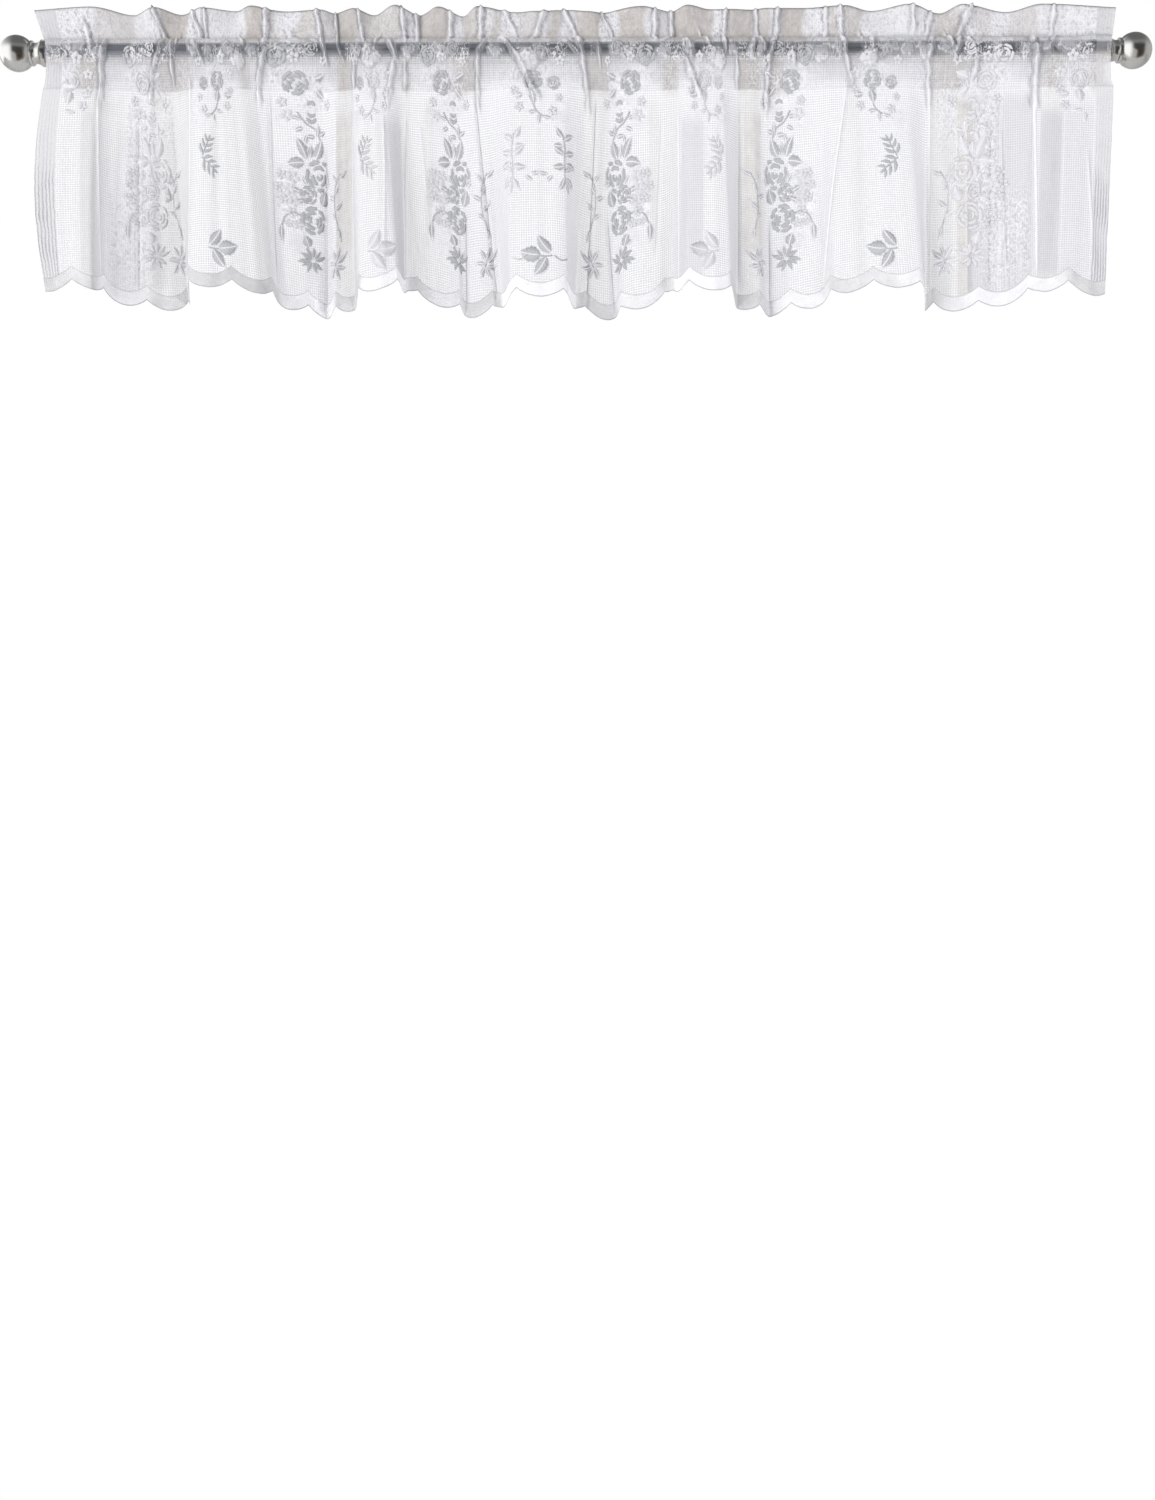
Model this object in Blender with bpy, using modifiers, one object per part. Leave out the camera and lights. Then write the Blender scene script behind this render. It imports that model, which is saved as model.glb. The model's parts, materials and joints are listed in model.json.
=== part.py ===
"""Lace valance gathered on a curtain rod with ball finials.

Metres, +Z up. The origin is on the rod's axis at the middle of its length. +X runs
along the rod, and -Y faces the room. The cloth is one piece: it hangs in front of the
rod, folds over at the top of the header and comes down behind the rod to the seam
that closes the rod pocket.
"""
import math

import bpy
import numpy as np

MM = 0.001

# Cut cloth
SCALLOP_PITCH = 0.0504
SCALLOP_DEPTH = 0.0115
SCALLOP_ROUNDNESS = 0.85
WHOLE_SCALLOPS = 29
LEFT_PART_SCALLOP = 0.65
RIGHT_PART_SCALLOP = 0.90
SCALLOPS = LEFT_PART_SCALLOP + WHOLE_SCALLOPS + RIGHT_PART_SCALLOP
COLUMNS_PER_SCALLOP = 4
CLOTH_THICKNESS = 0.001
LAYER_SPACING = 0.0026

# Rod
ROD_RADIUS = 0.014
ROD_LENGTH = 1.2234
ROD_BEVEL_RESOLUTION = 14
SEAT_GAP = 0.0003

# Finial, turned about its own axis, measured out from the rod's end
BALL_RADIUS = 0.021
BALL_CENTRE = 0.0307
RIM_RADIUS = 0.0144
RIM_WIDTH = 0.0016
FLARE_LENGTH = 0.0064
NECK_RADIUS = 0.0115
NECK_END = 0.0112
RING_RADIUS = 0.0140
RING_EDGE = 0.0006
FINIAL_STEPS = 24

# Heights of the cloth's lines over the rod's axis
CREST_HEIGHT = 0.0500
FOOT_HEIGHT = 0.0157
POCKET_SEAM_HEIGHT = -0.0425
NOTCH_HEIGHT = -0.265

# The pocket around the rod: forward of the axis, and height
SHOULDER = (0.0117, 0.0117)
POCKET_FRONT = 0.0165
UNDER_ROD = (0.0120, -0.0220)
SEAM_FORWARD = 0.002
SEAM_SHARE_OF_FOLDS = 0.22
COLLAR_ROOM = 0.0010
COLLAR_ROOM_START = 29.6
COLLAR_ROOM_RUN = 0.5

# How the folds grow from the pocket seam to the hem
DROP_ROWS = (0.08, 0.20, 0.34, 0.49, 0.64, 0.78, 0.90, 1.0)
DEPTH_GROWTH = 0.72
PINCH_FADE = 3.0
LEFT_EDGE_BULGE = 0.011
LEFT_EDGE_RUN = 0.7

# Header
CREST_LEAN_LEFT = 0.011
CREST_LEAN_RIGHT = 0.004
CREST_LEAN_RUN = 1.2
HEADER_MIDDLE = 0.5
FOOT_SWING = 0.10

# Hem folds: station along the cloth in scallops, then millimetres across the window,
# forward of the rod's axis, and lower than the highest notch
FOLDS = (
    # along, across, forward, drop
    (0.00, -605, 18, 3),
    (0.65, -574, 23, 0),
    (1.15, -550, 28, 2),
    (1.65, -542, 6, 6),
    (2.65, -497, -14, 15),
    (3.65, -452, -28, 13),
    (4.65, -441, 20, 0),
    (5.15, -416, 29, 0),
    (5.65, -391, 26, 2),
    (6.45, -353, 13, 7),
    (6.90, -343, -7, 13),
    (7.65, -311, -20, 20),
    (8.15, -291, -34, 22),
    (8.65, -278, -14, 23),
    (9.15, -257, -13, 17),
    (9.80, -246, 17, 6),
    (10.25, -225, 25, 3),
    (10.75, -201, 19, 1),
    (11.40, -196, -14, -2),
    (11.65, -184, -17, 4),
    (12.65, -136, -31, 17),
    (12.85, -130, -36, 22),
    (13.65, -97, -18, 21),
    (13.85, -88, -17, 17),
    (14.55, -72, 17, 10),
    (15.15, -41, 22, 10),
    (15.75, -11, 17, 12),
    (16.45, 1, -15, 19),
    (16.65, 10, -16, 23),
    (17.45, 46, -30, 26),
    (17.65, 52, -25, 21),
    (18.65, 103, -18, 6),
    (18.90, 113, -14, -2),
    (19.50, 124, 14, 1),
    (20.10, 152, 20, 3),
    (20.60, 176, 15, 6),
    (21.15, 187, -10, 17),
    (21.65, 212, -11, 23),
    (22.15, 226, -27, 22),
    (22.65, 249, -18, 20),
    (23.40, 286, -8, 13),
    (23.80, 297, 7, 7),
    (24.65, 340, 14, 1),
    (25.15, 366, 17, 0),
    (25.80, 398, 12, 4),
    (26.35, 405, -16, 20),
    (27.55, 459, -10, 20),
    (28.60, 517, 1, 9),
    (29.00, 529, 14, 5),
    (29.65, 561, 18, 4),
    (30.55, 604, 15, 14),
)

# Where stations of the cloth sit across the rod, in millimetres
ON_ROD = (
    # along, across
    (0.00, -611),
    (1.15, -553),
    (4.65, -437),
    (6.90, -362),
    (8.15, -293),
    (9.80, -250),
    (11.40, -198),
    (12.85, -140),
    (13.85, -105),
    (15.15, -46),
    (16.45, 14),
    (17.45, 45),
    (18.90, 110),
    (21.15, 185),
    (22.15, 220),
    (23.80, 293),
    (26.35, 405),
    (29.00, 539),
    (30.55, 617),
)

# Pinched gathers on the rod, in groups: first station, how many, how far they stand
GATHER_GROUPS = (
    # first, count, height in millimetres
    (1.40, 1, 7.0),
    (3.15, 9, 8.6),
    (8.15, 9, 8.8),
    (13.65, 3, 8.0),
    (16.15, 2, 8.4),
    (18.65, 8, 8.6),
    (24.15, 8, 8.2),
    (28.90, 3, 7.4),
)
GATHER_SPACING = 0.5
GATHER_HALF_WIDTH = 0.25
GATHER_UNEVENNESS = 0.22
GATHER_BEAT = 2.4
BACK_GATHER_SHARE = 0.5

# Header ruffle at its crest: station, swing forward and dip below the full height
RUFFLE = (
    # along, forward, dip
    (0.00, 2, 1),
    (1.15, 5, -2),
    (2.40, -4, 5),
    (3.15, 6, -1),
    (4.15, -6, 4),
    (4.90, 7, 0),
    (6.15, -3, 1),
    (6.65, 7, -2),
    (7.40, -4, 1),
    (8.15, 5, 2),
    (8.65, -5, 3),
    (9.65, 6, 1),
    (10.40, -6, 5),
    (11.15, 8, -2),
    (11.90, -6, 5),
    (12.40, 5, -1),
    (13.15, -5, 7),
    (13.65, 6, -1),
    (14.65, -3, 3),
    (15.15, 4, 4),
    (15.90, -7, -1),
    (16.40, 6, 5),
    (17.15, -5, 3),
    (18.15, 5, -1),
    (18.90, -5, 2),
    (19.40, 6, -2),
    (20.15, -3, 0),
    (20.90, 6, 3),
    (21.65, -5, 0),
    (22.15, 6, 2),
    (23.15, -3, -1),
    (24.15, 6, -1),
    (24.90, -5, 2),
    (25.90, 7, -2),
    (26.65, -5, 5),
    (27.15, 6, -2),
    (28.15, -4, 4),
    (28.90, 6, -2),
    (30.55, 2, 1),
)


def clear_scene():
    """Remove what the scene holds."""
    for item in list(bpy.data.objects):
        bpy.data.objects.remove(item, do_unlink=True)


def make_collection(name):
    """A collection of the given name, linked to the scene."""
    collection = bpy.data.collections.new(name)
    bpy.context.scene.collection.children.link(collection)
    return collection


def make_material(name, colour, roughness, metallic):
    """A plain Principled BSDF material."""
    material = bpy.data.materials.new(name)
    material.use_nodes = True
    shader = material.node_tree.nodes["Principled BSDF"]
    shader.inputs["Base Color"].default_value = (*colour, 1.0)
    shader.inputs["Roughness"].default_value = roughness
    shader.inputs["Metallic"].default_value = metallic
    return material


def fair(stations, values, at):
    """Values at `at` on a smooth curve through the table that never overshoots it."""
    steps = np.diff(stations)
    rises = np.diff(values) / steps
    slopes = np.zeros(len(values))
    slopes[0] = rises[0]
    slopes[-1] = rises[-1]
    for i in range(1, len(values) - 1):
        if rises[i - 1] * rises[i] > 0:
            before = 2 * steps[i] + steps[i - 1]
            after = steps[i] + 2 * steps[i - 1]
            slopes[i] = (before + after) / (before / rises[i - 1] + after / rises[i])
    place = np.clip(np.searchsorted(stations, at, side="right") - 1, 0, len(steps) - 1)
    span = steps[place]
    t = (at - stations[place]) / span
    return ((1 + 2 * t) * (1 - t) ** 2 * values[place]
            + t * (1 - t) ** 2 * span * slopes[place]
            + t * t * (3 - 2 * t) * values[place + 1]
            + t * t * (t - 1) * span * slopes[place + 1])


def table_columns(table):
    """Stations of a table, and its other columns in metres."""
    columns = np.array(table, dtype=float).T
    return columns[0], columns[1:] * MM


def ramp(values):
    """Smooth rise from 0 at 0 to 1 at 1."""
    t = np.clip(values, 0.0, 1.0)
    return t * t * (3 - 2 * t)


def gather_height(along):
    """How far the pinched gathers stand out from the pocket."""
    height = np.zeros(len(along))
    number = 0
    for first, count, tall in GATHER_GROUPS:
        for i in range(count):
            peak = first + i * GATHER_SPACING
            tallness = tall * MM * (1 + GATHER_UNEVENNESS * math.sin(GATHER_BEAT * number))
            shape = ramp(1 - np.abs(along - peak) / GATHER_HALF_WIDTH)
            height = np.maximum(height, tallness * shape)
            number += 1
    return height


def scallop(along):
    """Depth of the scalloped edge below its notches."""
    phase = (along - LEFT_PART_SCALLOP) % 1.0
    return SCALLOP_DEPTH * np.sin(np.pi * phase) ** SCALLOP_ROUNDNESS


def cloth_stations():
    """Stations of the cloth's columns: four to a scallop, and the two side edges."""
    first = math.ceil(-LEFT_PART_SCALLOP * COLUMNS_PER_SCALLOP)
    last = math.floor((SCALLOPS - LEFT_PART_SCALLOP) * COLUMNS_PER_SCALLOP)
    inner = LEFT_PART_SCALLOP + np.arange(first, last + 1) / COLUMNS_PER_SCALLOP
    return np.concatenate([[0.0], inner, [SCALLOPS]])


def cloth_rows(along):
    """Rows of the cloth's middle surface, from the back of the pocket seam to the hem.

    Each row holds an array of points, one for each station, whose forward direction
    is -Y.
    """
    fold_stations, (hem_across, hem_forward, hem_drop) = table_columns(FOLDS)
    rod_stations, (rod_across,) = table_columns(ON_ROD)
    crest_stations, (crest_forward, crest_dip) = table_columns(RUFFLE)
    hem_x = fair(fold_stations, hem_across, along)
    hem_out = fair(fold_stations, hem_forward, along)
    hem_z = NOTCH_HEIGHT - fair(fold_stations, hem_drop, along) - scallop(along)
    rod_x = fair(rod_stations, rod_across, along)
    swing = fair(crest_stations, crest_forward, along)
    crest_z = CREST_HEIGHT - fair(crest_stations, crest_dip, along)
    gather = gather_height(along)
    room = COLLAR_ROOM * ramp((along - COLLAR_ROOM_START) / COLLAR_ROOM_RUN)
    lean = (CREST_LEAN_RIGHT * np.exp((along - SCALLOPS) / CREST_LEAN_RUN)
            - CREST_LEAN_LEFT * np.exp(-along / CREST_LEAN_RUN))
    foot_z = FOOT_HEIGHT + room
    half = LAYER_SPACING / 2
    seam_out = SEAM_FORWARD + SEAM_SHARE_OF_FOLDS * hem_out + gather / 2

    def row(x, forward, z):
        return np.stack([x + 0 * along, -(forward + 0 * along), z + 0 * along], axis=1)

    def header(share, side):
        out = swing * (FOOT_SWING + (1 - FOOT_SWING) * share)
        z = foot_z + (crest_z - foot_z) * share
        return row(rod_x + lean * share, out + side * half, z)

    back_gather = gather * BACK_GATHER_SHARE
    rows = [
        row(rod_x, seam_out - LAYER_SPACING, POCKET_SEAM_HEIGHT),
        row(rod_x, -(UNDER_ROD[0] + back_gather), UNDER_ROD[1]),
        row(rod_x, -(POCKET_FRONT + back_gather + room), 0.0),
        row(rod_x, -(SHOULDER[0] + back_gather / 2 + room), SHOULDER[1] + room),
        header(0.0, -1),
        header(HEADER_MIDDLE, -1),
        header(1.0, -1),
        header(1.0, 1),
        header(HEADER_MIDDLE, 1),
        header(0.0, 1),
        row(rod_x, SHOULDER[0] + gather / 2 + room, SHOULDER[1] + room),
        row(rod_x, POCKET_FRONT + gather + room, 0.0),
        row(rod_x, UNDER_ROD[0] + 0.8 * gather, UNDER_ROD[1]),
        row(rod_x, seam_out, POCKET_SEAM_HEIGHT),
    ]
    for share in DROP_ROWS:
        depth = share ** DEPTH_GROWTH
        pinch = gather / 2 * (1 - share) ** PINCH_FADE
        base = SEAM_FORWARD + SEAM_SHARE_OF_FOLDS * hem_out
        bulge = LEFT_EDGE_BULGE * math.sin(math.pi * share) * np.exp(-along / LEFT_EDGE_RUN)
        rows.append(row(
            rod_x + (hem_x - rod_x) * share - bulge,
            base + (hem_out - base) * depth + pinch,
            POCKET_SEAM_HEIGHT + (hem_z - POCKET_SEAM_HEIGHT) * share,
        ))
    return rows


def build_valance(collection):
    """The lace valance: a grid laid on the rows of the folds, and given its thickness."""
    along = cloth_stations()
    rows = cloth_rows(along)
    bpy.ops.mesh.primitive_grid_add(
        x_subdivisions=len(along) - 1, y_subdivisions=len(rows) - 1, size=2)
    valance = bpy.context.object
    valance.name = "valance"
    valance.data.name = "valance"
    for vertex in valance.data.vertices:
        column = round((vertex.co.x + 1) / 2 * (len(along) - 1))
        line = round((vertex.co.y + 1) / 2 * (len(rows) - 1))
        vertex.co = rows[line][column]
    valance.data.shade_smooth()
    thicken = valance.modifiers.new("thickness", "SOLIDIFY")
    thicken.thickness = CLOTH_THICKNESS
    thicken.offset = 0.0
    valance.data.materials.append(make_material("lace", (0.86, 0.86, 0.87), 0.85, 0.0))
    move_to(valance, collection)


def build_rod(collection):
    """The rod: a plain round tube with closed ends."""
    curve = bpy.data.curves.new("rod", "CURVE")
    curve.dimensions = "3D"
    curve.bevel_depth = ROD_RADIUS
    curve.bevel_resolution = ROD_BEVEL_RESOLUTION
    curve.use_fill_caps = True
    spline = curve.splines.new("POLY")
    spline.points.add(1)
    spline.points[0].co = (-ROD_LENGTH / 2, 0, 0, 1)
    spline.points[1].co = (ROD_LENGTH / 2, 0, 0, 1)
    rod = bpy.data.objects.new("rod", curve)
    curve.materials.append(make_material("rod_metal", (0.55, 0.56, 0.58), 0.32, 1.0))
    collection.objects.link(rod)


def finial_profile():
    """Radius and height of the finial from the ball's tip down to the rod's end."""
    ball_start = BALL_CENTRE - math.sqrt(BALL_RADIUS ** 2 - RING_RADIUS ** 2)
    last_angle = math.atan2(RING_RADIUS, ball_start - BALL_CENTRE)
    ball_points = 14
    points = []
    for i in range(ball_points):
        angle = last_angle * i / (ball_points - 1)
        points.append((BALL_RADIUS * math.sin(angle), BALL_CENTRE + BALL_RADIUS * math.cos(angle)))
    points.append((RING_RADIUS, NECK_END + RING_EDGE))
    points.append((RING_RADIUS - RING_EDGE, NECK_END))
    points.append((NECK_RADIUS, NECK_END))
    flare_points = 4
    for i in range(flare_points + 1):
        share = i / flare_points
        radius = NECK_RADIUS + (RIM_RADIUS - NECK_RADIUS) * share ** 2
        points.append((radius, RIM_WIDTH + FLARE_LENGTH * (1 - share)))
    points.append((RIM_RADIUS, SEAT_GAP))
    points.append((0.0, SEAT_GAP))
    return points


def build_finials(collection):
    """A turned ball finial at each end of the rod."""
    profile = bpy.data.meshes.new("finial")
    points = finial_profile()
    profile.from_pydata(
        [(radius, 0.0, height) for radius, height in points],
        [(i, i + 1) for i in range(len(points) - 1)], [])
    material = make_material("brushed_nickel", (0.60, 0.58, 0.55), 0.28, 1.0)
    profile.materials.append(material)
    for name, side in (("finial_left", -1), ("finial_right", 1)):
        finial = bpy.data.objects.new(name, profile)
        finial.location = (side * ROD_LENGTH / 2, 0.0, 0.0)
        finial.rotation_euler = (0.0, side * math.pi / 2, 0.0)
        turn = finial.modifiers.new("turning", "SCREW")
        turn.steps = FINIAL_STEPS
        turn.render_steps = FINIAL_STEPS
        turn.use_merge_vertices = True
        turn.merge_threshold = 0.00005
        turn.use_smooth_shade = True
        collection.objects.link(finial)


def move_to(item, collection):
    """Put an object made by an operator in the part's collection alone."""
    for holder in list(item.users_collection):
        holder.objects.unlink(item)
    collection.objects.link(item)


def main():
    """Build the part."""
    clear_scene()
    parts = make_collection("lace_valance_on_rod")
    build_valance(parts)
    build_rod(parts)
    build_finials(parts)


main()
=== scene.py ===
"""Lace valance gathered on a curtain rod: the cloth, its lace and the metal, dressed.

The cloth is cut flat and hung. `along` counts scallops from its left edge, and `down` is
metres of cloth below the seam that closes the rod pocket: above the seam it is negative,
over the crest of the header at -RISE, and down the back of the pocket to -2 * RISE.
"""

import json
import math

import bpy
import numpy as np
from bpy.props import FloatProperty, FloatVectorProperty, IntProperty, PointerProperty
from mathutils import Euler, Matrix, Vector

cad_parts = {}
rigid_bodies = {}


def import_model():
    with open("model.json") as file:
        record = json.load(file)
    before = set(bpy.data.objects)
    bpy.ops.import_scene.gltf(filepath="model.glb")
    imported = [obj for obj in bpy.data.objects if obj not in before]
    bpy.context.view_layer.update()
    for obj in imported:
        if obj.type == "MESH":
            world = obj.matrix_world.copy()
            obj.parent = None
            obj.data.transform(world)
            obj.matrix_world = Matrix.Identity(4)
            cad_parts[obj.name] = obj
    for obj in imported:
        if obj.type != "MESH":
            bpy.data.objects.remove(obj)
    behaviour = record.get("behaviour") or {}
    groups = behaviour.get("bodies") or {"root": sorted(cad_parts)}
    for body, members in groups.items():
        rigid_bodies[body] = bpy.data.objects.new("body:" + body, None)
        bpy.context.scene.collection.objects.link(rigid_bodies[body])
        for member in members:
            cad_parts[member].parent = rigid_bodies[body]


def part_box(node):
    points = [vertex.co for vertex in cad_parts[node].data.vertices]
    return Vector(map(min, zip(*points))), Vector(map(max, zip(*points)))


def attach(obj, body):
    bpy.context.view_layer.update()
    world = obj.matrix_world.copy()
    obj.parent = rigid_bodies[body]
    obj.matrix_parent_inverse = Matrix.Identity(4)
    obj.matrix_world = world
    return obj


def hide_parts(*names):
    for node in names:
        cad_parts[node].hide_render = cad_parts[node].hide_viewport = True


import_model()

bl_info = {
    "name": "Lace valance",
    "version": (1, 0, 0),
    "blender": (4, 5, 0),
    "location": "View3D > Sidebar > Valance",
    "description": "Builds a lace valance gathered on its rod, with a studio stage",
    "category": "Object",
}

MM = 0.001

# Cut cloth
SCALLOP_PITCH = 0.0504
SCALLOP_DEPTH = 0.0115
SCALLOP_ROUNDNESS = 0.85
LEFT_PART_SCALLOP = 0.65
SCALLOPS = 30.55
NOTCH_LENGTH = 0.2225
CLOTH_WIDTH = SCALLOPS * SCALLOP_PITCH

# The pocket and header, from the seam up: cloth above the seam, forward, height
POCKET = (
    # cloth, forward, height, in millimetres
    (0.0, 0.0, -42.5),
    (22.8, 12.0, -22.0),
    (45.3, 16.5, 0.0),
    (58.0, 11.7, 11.7),
    (69.1, 1.3, 15.7),
)
FOOT = 0.0691
HEADER = 0.0343
RISE = FOOT + HEADER
SEAM_Z = -0.0425
FOOT_Z = 0.0157
CREST_Z = 0.0500
NOTCH_Z = -0.265
UNDER_ROD = 0.0228
LAYER_SPACING = 0.0026
SEAM_FORWARD = 0.002
SEAM_SHARE_OF_FOLDS = 0.22
DEPTH_GROWTH = 0.72
LEFT_EDGE_BULGE = 0.011
LEFT_EDGE_RUN = 0.7
CREST_LEAN_LEFT = 0.011
CREST_LEAN_RIGHT = 0.004
CREST_LEAN_RUN = 1.2
FOOT_SWING = 0.10
COLLAR_ROOM = 0.0010
COLLAR_ROOM_START = 29.6
COLLAR_ROOM_RUN = 0.5

# Hem folds
FOLDS = (
    # along, then millimetres across, forward and drop
    (0.00, -605, 18, 3),
    (0.65, -574, 23, 0),
    (1.15, -550, 28, 2),
    (1.65, -542, 6, 6),
    (2.65, -497, -14, 15),
    (3.65, -452, -28, 13),
    (4.65, -441, 20, 0),
    (5.15, -416, 29, 0),
    (5.65, -391, 26, 2),
    (6.45, -353, 13, 7),
    (6.90, -343, -7, 13),
    (7.65, -311, -20, 20),
    (8.15, -291, -34, 22),
    (8.65, -278, -14, 23),
    (9.15, -257, -13, 17),
    (9.80, -246, 17, 6),
    (10.25, -225, 25, 3),
    (10.75, -201, 19, 1),
    (11.40, -196, -14, -2),
    (11.65, -184, -17, 4),
    (12.65, -136, -31, 17),
    (12.85, -130, -36, 22),
    (13.65, -97, -18, 21),
    (13.85, -88, -17, 17),
    (14.55, -72, 17, 10),
    (15.15, -41, 22, 10),
    (15.75, -11, 17, 12),
    (16.45, 1, -15, 19),
    (16.65, 10, -16, 23),
    (17.45, 46, -30, 26),
    (17.65, 52, -25, 21),
    (18.65, 103, -18, 6),
    (18.90, 113, -14, -2),
    (19.50, 124, 14, 1),
    (20.10, 152, 20, 3),
    (20.60, 176, 15, 6),
    (21.15, 187, -10, 17),
    (21.65, 212, -11, 23),
    (22.15, 226, -27, 22),
    (22.65, 249, -18, 20),
    (23.40, 286, -8, 13),
    (23.80, 297, 7, 7),
    (24.65, 340, 14, 1),
    (25.15, 366, 17, 0),
    (25.80, 398, 12, 4),
    (26.35, 405, -16, 20),
    (27.55, 459, -10, 20),
    (28.60, 517, 1, 9),
    (29.00, 529, 14, 5),
    (29.65, 561, 18, 4),
    (30.55, 604, 15, 14),
)

# Where stations of the cloth sit across the rod
ON_ROD = (
    # along, millimetres across
    (0.00, -611),
    (1.15, -553),
    (4.65, -437),
    (6.90, -362),
    (8.15, -293),
    (9.80, -250),
    (11.40, -198),
    (12.85, -140),
    (13.85, -105),
    (15.15, -46),
    (16.45, 14),
    (17.45, 45),
    (18.90, 110),
    (21.15, 185),
    (22.15, 220),
    (23.80, 293),
    (26.35, 405),
    (29.00, 539),
    (30.55, 617),
)

# Header ruffle at its crest
RUFFLE = (
    # along, millimetres forward, and dip below the full height
    (0.00, 2, 1),
    (1.15, 5, -2),
    (2.40, -4, 5),
    (3.15, 6, -1),
    (4.15, -6, 4),
    (4.90, 7, 0),
    (6.15, -3, 1),
    (6.65, 7, -2),
    (7.40, -4, 1),
    (8.15, 5, 2),
    (8.65, -5, 3),
    (9.65, 6, 1),
    (10.40, -6, 5),
    (11.15, 8, -2),
    (11.90, -6, 5),
    (12.40, 5, -1),
    (13.15, -5, 7),
    (13.65, 6, -1),
    (14.65, -3, 3),
    (15.15, 4, 4),
    (15.90, -7, -1),
    (16.40, 6, 5),
    (17.15, -5, 3),
    (18.15, 5, -1),
    (18.90, -5, 2),
    (19.40, 6, -2),
    (20.15, -3, 0),
    (20.90, 6, 3),
    (21.65, -5, 0),
    (22.15, 6, 2),
    (23.15, -3, -1),
    (24.15, 6, -1),
    (24.90, -5, 2),
    (25.90, 7, -2),
    (26.65, -5, 5),
    (27.15, 6, -2),
    (28.15, -4, 4),
    (28.90, 6, -2),
    (30.55, 2, 1),
)

# Ridges pinched into the cloth by the gathers
RIDGES = (
    # along, cloth above the seam mm, the same at the other end, height mm, half width
    (0.94, 91, 1.13, 43, 5, 0.12),
    (1.55, 57, 1.39, 28, 8, 0.14),
    (1.41, 28, 1.34, -26, 6, 0.11),
    (3.00, 112, 3.66, 64, 7, 0.12),
    (3.55, 57, 3.15, 20, 6, 0.12),
    (3.13, 20, 2.94, -7, 5, 0.11),
    (3.85, 53, 3.88, 6, 5, 0.11),
    (4.10, 72, 4.03, 48, 4, 0.11),
    (4.44, 112, 4.92, 64, 6, 0.14),
    (4.99, 112, 5.07, 64, 4, 0.11),
    (4.67, 54, 4.97, 30, 6, 0.14),
    (6.26, 72, 6.46, 48, 5, 0.11),
    (7.03, 112, 7.03, 48, 6, 0.11),
    (7.08, 48, 6.86, 9, 6, 0.11),
    (6.86, 9, 6.82, -15, 5, 0.11),
    (7.48, 76, 7.65, 58, 4, 0.11),
    (8.01, 112, 8.23, 55, 6, 0.11),
    (8.23, 55, 8.44, 25, 5, 0.11),
    (8.67, 112, 8.90, 48, 6, 0.11),
    (8.90, 48, 9.16, 32, 6, 0.12),
    (9.77, 112, 10.05, 55, 5, 0.11),
    (10.63, 72, 10.48, 50, 4, 0.12),
    (9.68, 30, 9.62, -3, 4, 0.11),
    (11.34, 112, 11.49, 55, 6, 0.12),
    (11.77, 112, 11.86, 53, 6, 0.11),
    (10.99, 55, 11.19, 32, 6, 0.16),
    (11.13, 32, 10.82, -21, 5, 0.17),
    (11.49, 30, 11.44, -3, 4, 0.11),
    (12.77, 112, 12.73, 58, 5, 0.14),
    (13.77, 112, 13.73, 58, 6, 0.14),
    (13.91, 55, 13.67, 39, 7, 0.12),
    (13.67, 39, 13.62, -21, 5, 0.11),
    (14.32, 112, 14.69, 70, 5, 0.14),
    (15.42, 112, 15.06, 58, 5, 0.14),
    (14.19, 70, 14.77, 30, 7, 0.14),
    (14.77, 30, 15.19, -12, 7, 0.14),
    (15.73, 112, 16.11, 72, 6, 0.14),
    (16.11, 72, 16.28, 37, 7, 0.14),
    (16.28, 37, 16.51, -24, 6, 0.11),
    (15.86, 55, 16.20, 37, 6, 0.12),
    (16.84, 112, 17.47, 64, 5, 0.12),
    (16.79, 53, 16.90, 23, 3, 0.11),
    (18.47, 112, 18.47, 57, 6, 0.11),
    (18.89, 112, 18.92, 65, 6, 0.11),
    (18.93, 65, 18.58, 50, 6, 0.12),
    (19.38, 57, 19.52, 34, 7, 0.16),
    (19.32, 34, 19.89, -16, 5, 0.17),
    (19.80, 76, 20.14, 50, 5, 0.12),
    (20.79, 112, 20.69, 65, 6, 0.11),
    (20.69, 65, 20.75, 37, 6, 0.12),
    (21.13, 34, 21.16, -1, 4, 0.11),
    (21.79, 112, 21.83, 74, 5, 0.11),
    (21.83, 74, 22.04, 46, 6, 0.12),
    (21.72, 57, 21.60, 32, 6, 0.12),
    (22.45, 112, 22.40, 65, 6, 0.11),
    (22.39, 65, 22.18, 34, 6, 0.11),
    (22.18, 34, 22.12, -24, 6, 0.11),
    (22.80, 48, 22.85, 25, 4, 0.11),
    (23.66, 112, 23.68, 61, 4, 0.11),
    (24.04, 112, 24.08, 57, 6, 0.11),
    (24.11, 57, 24.14, 37, 6, 0.11),
    (24.14, 37, 24.34, 6, 5, 0.11),
    (24.55, 75, 24.60, 55, 4, 0.12),
    (24.86, 61, 24.89, 38, 6, 0.12),
    (25.94, 112, 25.99, 75, 5, 0.11),
    (26.47, 112, 26.30, 71, 5, 0.12),
    (26.41, 61, 26.30, 29, 7, 0.12),
    (26.30, 29, 26.40, -20, 5, 0.11),
    (26.72, 75, 26.90, 45, 6, 0.12),
    (27.42, 112, 27.03, 67, 8, 0.12),
    (27.10, 67, 26.92, 31, 6, 0.11),
    (27.16, 67, 27.44, 31, 7, 0.11),
    (27.44, 31, 27.37, 11, 6, 0.12),
    (28.64, 67, 28.78, 31, 7, 0.12),
    (28.75, 34, 28.77, -23, 7, 0.12),
    (29.19, 112, 29.13, 71, 4, 0.11),
    (29.25, 67, 29.01, 41, 5, 0.12),
)

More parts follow.
